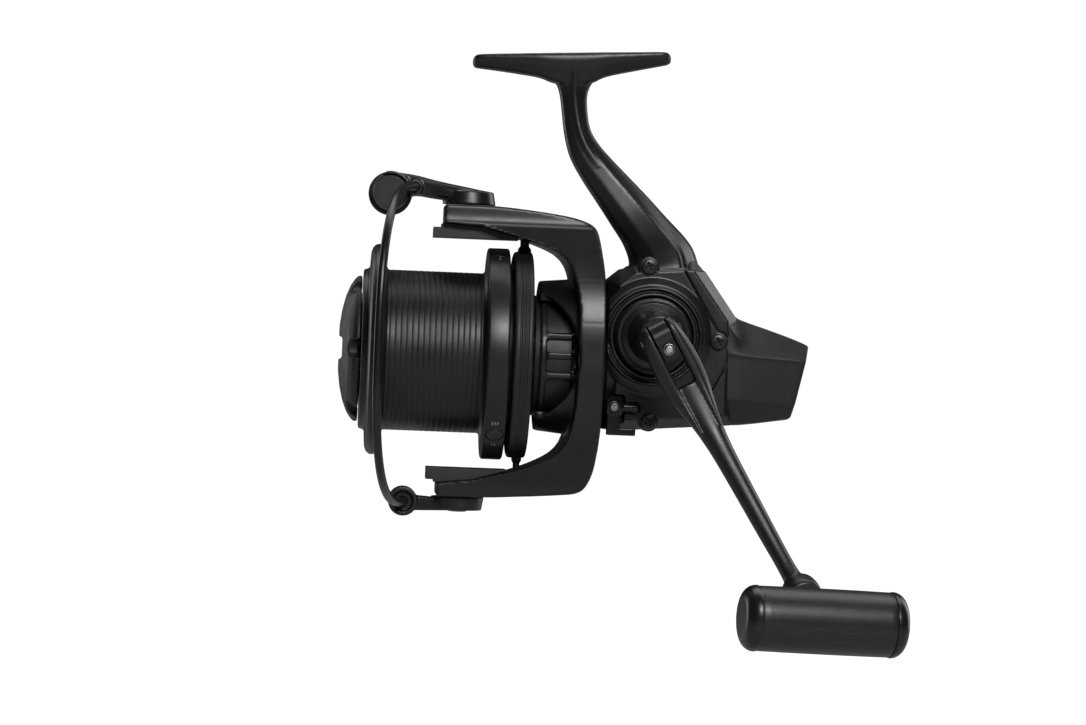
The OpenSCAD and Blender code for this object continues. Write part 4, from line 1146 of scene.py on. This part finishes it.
def scatter_tree(source, material):
    """Geometry Nodes: a copy of the source on every point, turned to the point's normal."""
    tree = bpy.data.node_groups.new("screws_on_points", "GeometryNodeTree")
    socket = tree.interface.new_socket
    socket(name="Geometry", in_out="INPUT", socket_type="NodeSocketGeometry")
    size = socket(name="Size", in_out="INPUT", socket_type="NodeSocketFloat")
    size.default_value = 1.0
    socket(name="Geometry", in_out="OUTPUT", socket_type="NodeSocketGeometry")
    add, link = tree.nodes.new, tree.links.new
    entry, leave = add("NodeGroupInput").outputs, add("NodeGroupOutput").inputs
    screw = add("GeometryNodeObjectInfo")
    screw.inputs["Object"].default_value = source
    facing = add("GeometryNodeInputNamedAttribute")
    facing.data_type = "FLOAT_VECTOR"
    facing.inputs["Name"].default_value = "facing"
    align = add("FunctionNodeAlignRotationToVector")
    align.axis = "Z"
    spread = add("GeometryNodeInstanceOnPoints")
    real = add("GeometryNodeRealizeInstances")
    finish = add("GeometryNodeSetMaterial")
    finish.inputs["Material"].default_value = material
    link(entry["Geometry"], spread.inputs["Points"])
    link(screw.outputs["Geometry"], spread.inputs["Instance"])
    link(facing.outputs["Attribute"], align.inputs["Vector"])
    link(align.outputs["Rotation"], spread.inputs["Rotation"])
    link(entry["Size"], spread.inputs["Scale"])
    link(spread.outputs["Instances"], real.inputs["Geometry"])
    link(real.outputs["Geometry"], finish.inputs["Geometry"])
    link(finish.outputs["Geometry"], leave["Geometry"])
    return tree, size.identifier


def screws(name, body, node, head, spots, material):
    """Sets one screw on each spot of (place, facing) and replaces the CAD screws."""
    source = screw_mesh(head)
    points = bpy.data.meshes.new(name)
    points.from_pydata([tuple(place_at) for place_at, _ in spots], [], [])
    facing = points.attributes.new("facing", "FLOAT_VECTOR", "POINT")
    for i, (_, way) in enumerate(spots):
        facing.data[i].vector = way
    piece = linked(name, points)
    tree, size = scatter_tree(source, material)
    modifier = piece.modifiers.new("screws", "NODES")
    modifier.node_group = tree
    modifier[size] = 1.0
    apply_modifiers(piece)
    bpy.data.objects.remove(source)
    bpy.data.node_groups.remove(tree)
    place(piece, body, "black_satin", material, node)


class REEL_OT_screws(bpy.types.Operator):
    """Sets the cross-recessed screws of the housing and the bail"""
    bl_idname = "reel.screws"
    bl_label = "Screws"

    def execute(self, context):
        head = context.scene.reel_shapes.screw_head
        cover_face = 22.1
        spots = [(Vector((x, -cover_face, rise)) * MM + UP * SPOOL_CENTRE.z, OUTWARD)
                 for x, rise in ((28.8, 32.9), (54.2, 7.4), (30.7, -21.6))]
        screws("housing_screws", "reel_body", "body_screws", head, spots, MATERIALS["satin"])
        pivot_head = head * 1.48
        seated = head * 0.92
        low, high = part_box("bail_screws")
        pivot = Vector((BAIL_PIVOT.x, 0, 0))
        ends = [(pivot + UP * (high.z - seated), UP), (pivot + UP * (low.z + seated), -UP)]
        screws("pivot_screws", "rotor_unit", "bail_screws", pivot_head, ends, MATERIALS["satin"])
        return {"FINISHED"}


# ---------------------------------------------------------------- stage

LIGHTS = [
    # name, place, size and power
    ("key", (0.2, -1.1, 0.5), (0.5, 0.3), 11.0),
    ("top", (0.1, 0.35, 1.1), (1.6, 0.8), 9.0),
    ("rim_left", (-1.0, 0.9, 0.1), (0.4, 1.4), 4.0),
    ("rim_right", (1.1, 0.7, 0.2), (0.5, 1.4), 6.0),
    ("low", (0.2, -0.9, -0.75), (1.2, 0.2), 1.6),
]


def soft_light(name, place_at, size, power):
    """One large soft light that faces the reel."""
    reel_middle = Vector((0.01, 0, -0.1))
    data = bpy.data.lights.new(name, "AREA")
    data.shape = "RECTANGLE"
    data.size, data.size_y = size
    data.energy = power
    lamp = linked(name, data)
    lamp.location = place_at
    lamp.rotation_euler = (reel_middle - lamp.location).to_track_quat("-Z", "Y").to_euler()


def set_camera(stage):
    """The camera, level with the reel and turned a little."""
    target = Vector((-0.0061, 0, -0.1104))
    data = bpy.data.cameras.new("camera")
    data.lens = stage.lens
    data.clip_end = 50
    camera = linked("camera", data)
    azimuth, rise = math.radians(stage.azimuth), math.radians(stage.elevation)
    back = Vector((math.sin(azimuth) * math.cos(rise), -math.cos(azimuth) * math.cos(rise), math.sin(rise)))
    camera.location = target + back * stage.distance
    look = back.to_track_quat("Z", "Y").to_matrix()
    roll = Matrix.Rotation(math.radians(stage.roll), 3, "Z")
    camera.rotation_euler = (look @ roll).to_euler()
    return camera


def studio_world():
    """A world that looks white and lights the reel only faintly."""
    world = bpy.data.worlds.new("studio")
    world.use_nodes = True
    tree = world.node_tree
    faint = tree.nodes["Background"]
    faint.inputs["Color"].default_value = (0.93, 0.95, 1.0, 1)
    faint.inputs["Strength"].default_value = 0.03
    shown = tree.nodes.new("ShaderNodeBackground")
    shown.inputs["Color"].default_value = (1, 1, 1, 1)
    shown.inputs["Strength"].default_value = 1.04
    path = tree.nodes.new("ShaderNodeLightPath")
    mix = tree.nodes.new("ShaderNodeMixShader")
    tree.links.new(path.outputs["Is Camera Ray"], mix.inputs[0])
    tree.links.new(faint.outputs[0], mix.inputs[1])
    tree.links.new(shown.outputs[0], mix.inputs[2])
    tree.links.new(mix.outputs[0], tree.nodes["World Output"].inputs["Surface"])
    return world


def pale_floor():
    """The floor, which the camera sees white and which throws little light on the reel."""
    size, level = 6.0, -0.30
    corners = [(-size, -size, level), (size, -size, level), (size, size, level), (-size, size, level)]
    floor = new_piece("floor", corners, [(0, 1, 2, 3)])
    material, tree, shader, where = start_material("pale_floor")
    grain = noise(tree, where, 30.0, 3.0, 0.5)
    tree.links.new(colour_ramp(tree, grain, [(0.0, [0.44] * 3), (1.0, [0.48] * 3)]),
                   shader.inputs["Base Color"])
    shader.inputs["Roughness"].default_value = 0.8
    shader.inputs["Emission Color"].default_value = (1, 1, 1, 1)
    seen = tree.nodes.new("ShaderNodeLightPath").outputs["Is Camera Ray"]
    tree.links.new(maths(tree, "MULTIPLY", seen, 1.02), shader.inputs["Emission Strength"])
    floor.data.materials.append(material)
    return floor


class REEL_OT_stage(bpy.types.Operator):
    """Sets the camera, the studio lights, the world and the floor"""
    bl_idname = "reel.stage"
    bl_label = "Stage"

    def execute(self, context):
        scene = context.scene
        scene.camera = set_camera(scene.reel_stage)
        scene.world = studio_world()
        scene.view_settings.view_transform = "Standard"
        for name, place_at, size, power in LIGHTS:
            soft_light(name, place_at, size, power)
        pale_floor()
        return {"FINISHED"}


class REEL_OT_finishes(bpy.types.Operator):
    """Makes every finish from the colours in the panel"""
    bl_idname = "reel.finishes"
    bl_label = "Finishes"

    def execute(self, context):
        build_materials(context.scene.reel_looks)
        return {"FINISHED"}


OPERATORS = [REEL_OT_finishes, REEL_OT_stage, REEL_OT_body, REEL_OT_lever, REEL_OT_rotor,
             REEL_OT_bail, REEL_OT_wire, REEL_OT_spool, REEL_OT_clips, REEL_OT_drag, REEL_OT_crank,
             REEL_OT_knob, REEL_OT_drive, REEL_OT_screws]


class REEL_PT_panel(bpy.types.Panel):
    """Lists the settings and the build steps."""
    bl_label = "Spinning Reel"
    bl_idname = "REEL_PT_panel"
    bl_space_type = "VIEW_3D"
    bl_region_type = "UI"
    bl_category = "Reel"

    def draw(self, context):
        layout = self.layout
        for group_name in ("reel_looks", "reel_shapes", "reel_stage"):
            settings = getattr(context.scene, group_name)
            box = layout.box()
            for name in settings.__annotations__:
                box.prop(settings, name)
        for operator in OPERATORS:
            layout.operator(operator.bl_idname)


SETTINGS = {"reel_looks": ReelLooks, "reel_shapes": ReelShapes, "reel_stage": ReelStage}


def register():
    """Registers the settings, the operators and the panel."""
    for name, settings in SETTINGS.items():
        bpy.utils.register_class(settings)
        setattr(bpy.types.Scene, name, bpy.props.PointerProperty(type=settings))
    for operator in OPERATORS:
        bpy.utils.register_class(operator)
    bpy.utils.register_class(REEL_PT_panel)


def unregister():
    """Takes everything out again."""
    bpy.utils.unregister_class(REEL_PT_panel)
    for operator in reversed(OPERATORS):
        bpy.utils.unregister_class(operator)
    for name, settings in SETTINGS.items():
        delattr(bpy.types.Scene, name)
        bpy.utils.unregister_class(settings)


def main():
    """Builds every piece in order."""
    register()
    for operator in OPERATORS:
        group_name, step = operator.bl_idname.split(".")
        getattr(getattr(bpy.ops, group_name), step)()


if __name__ == "__main__":
    main()
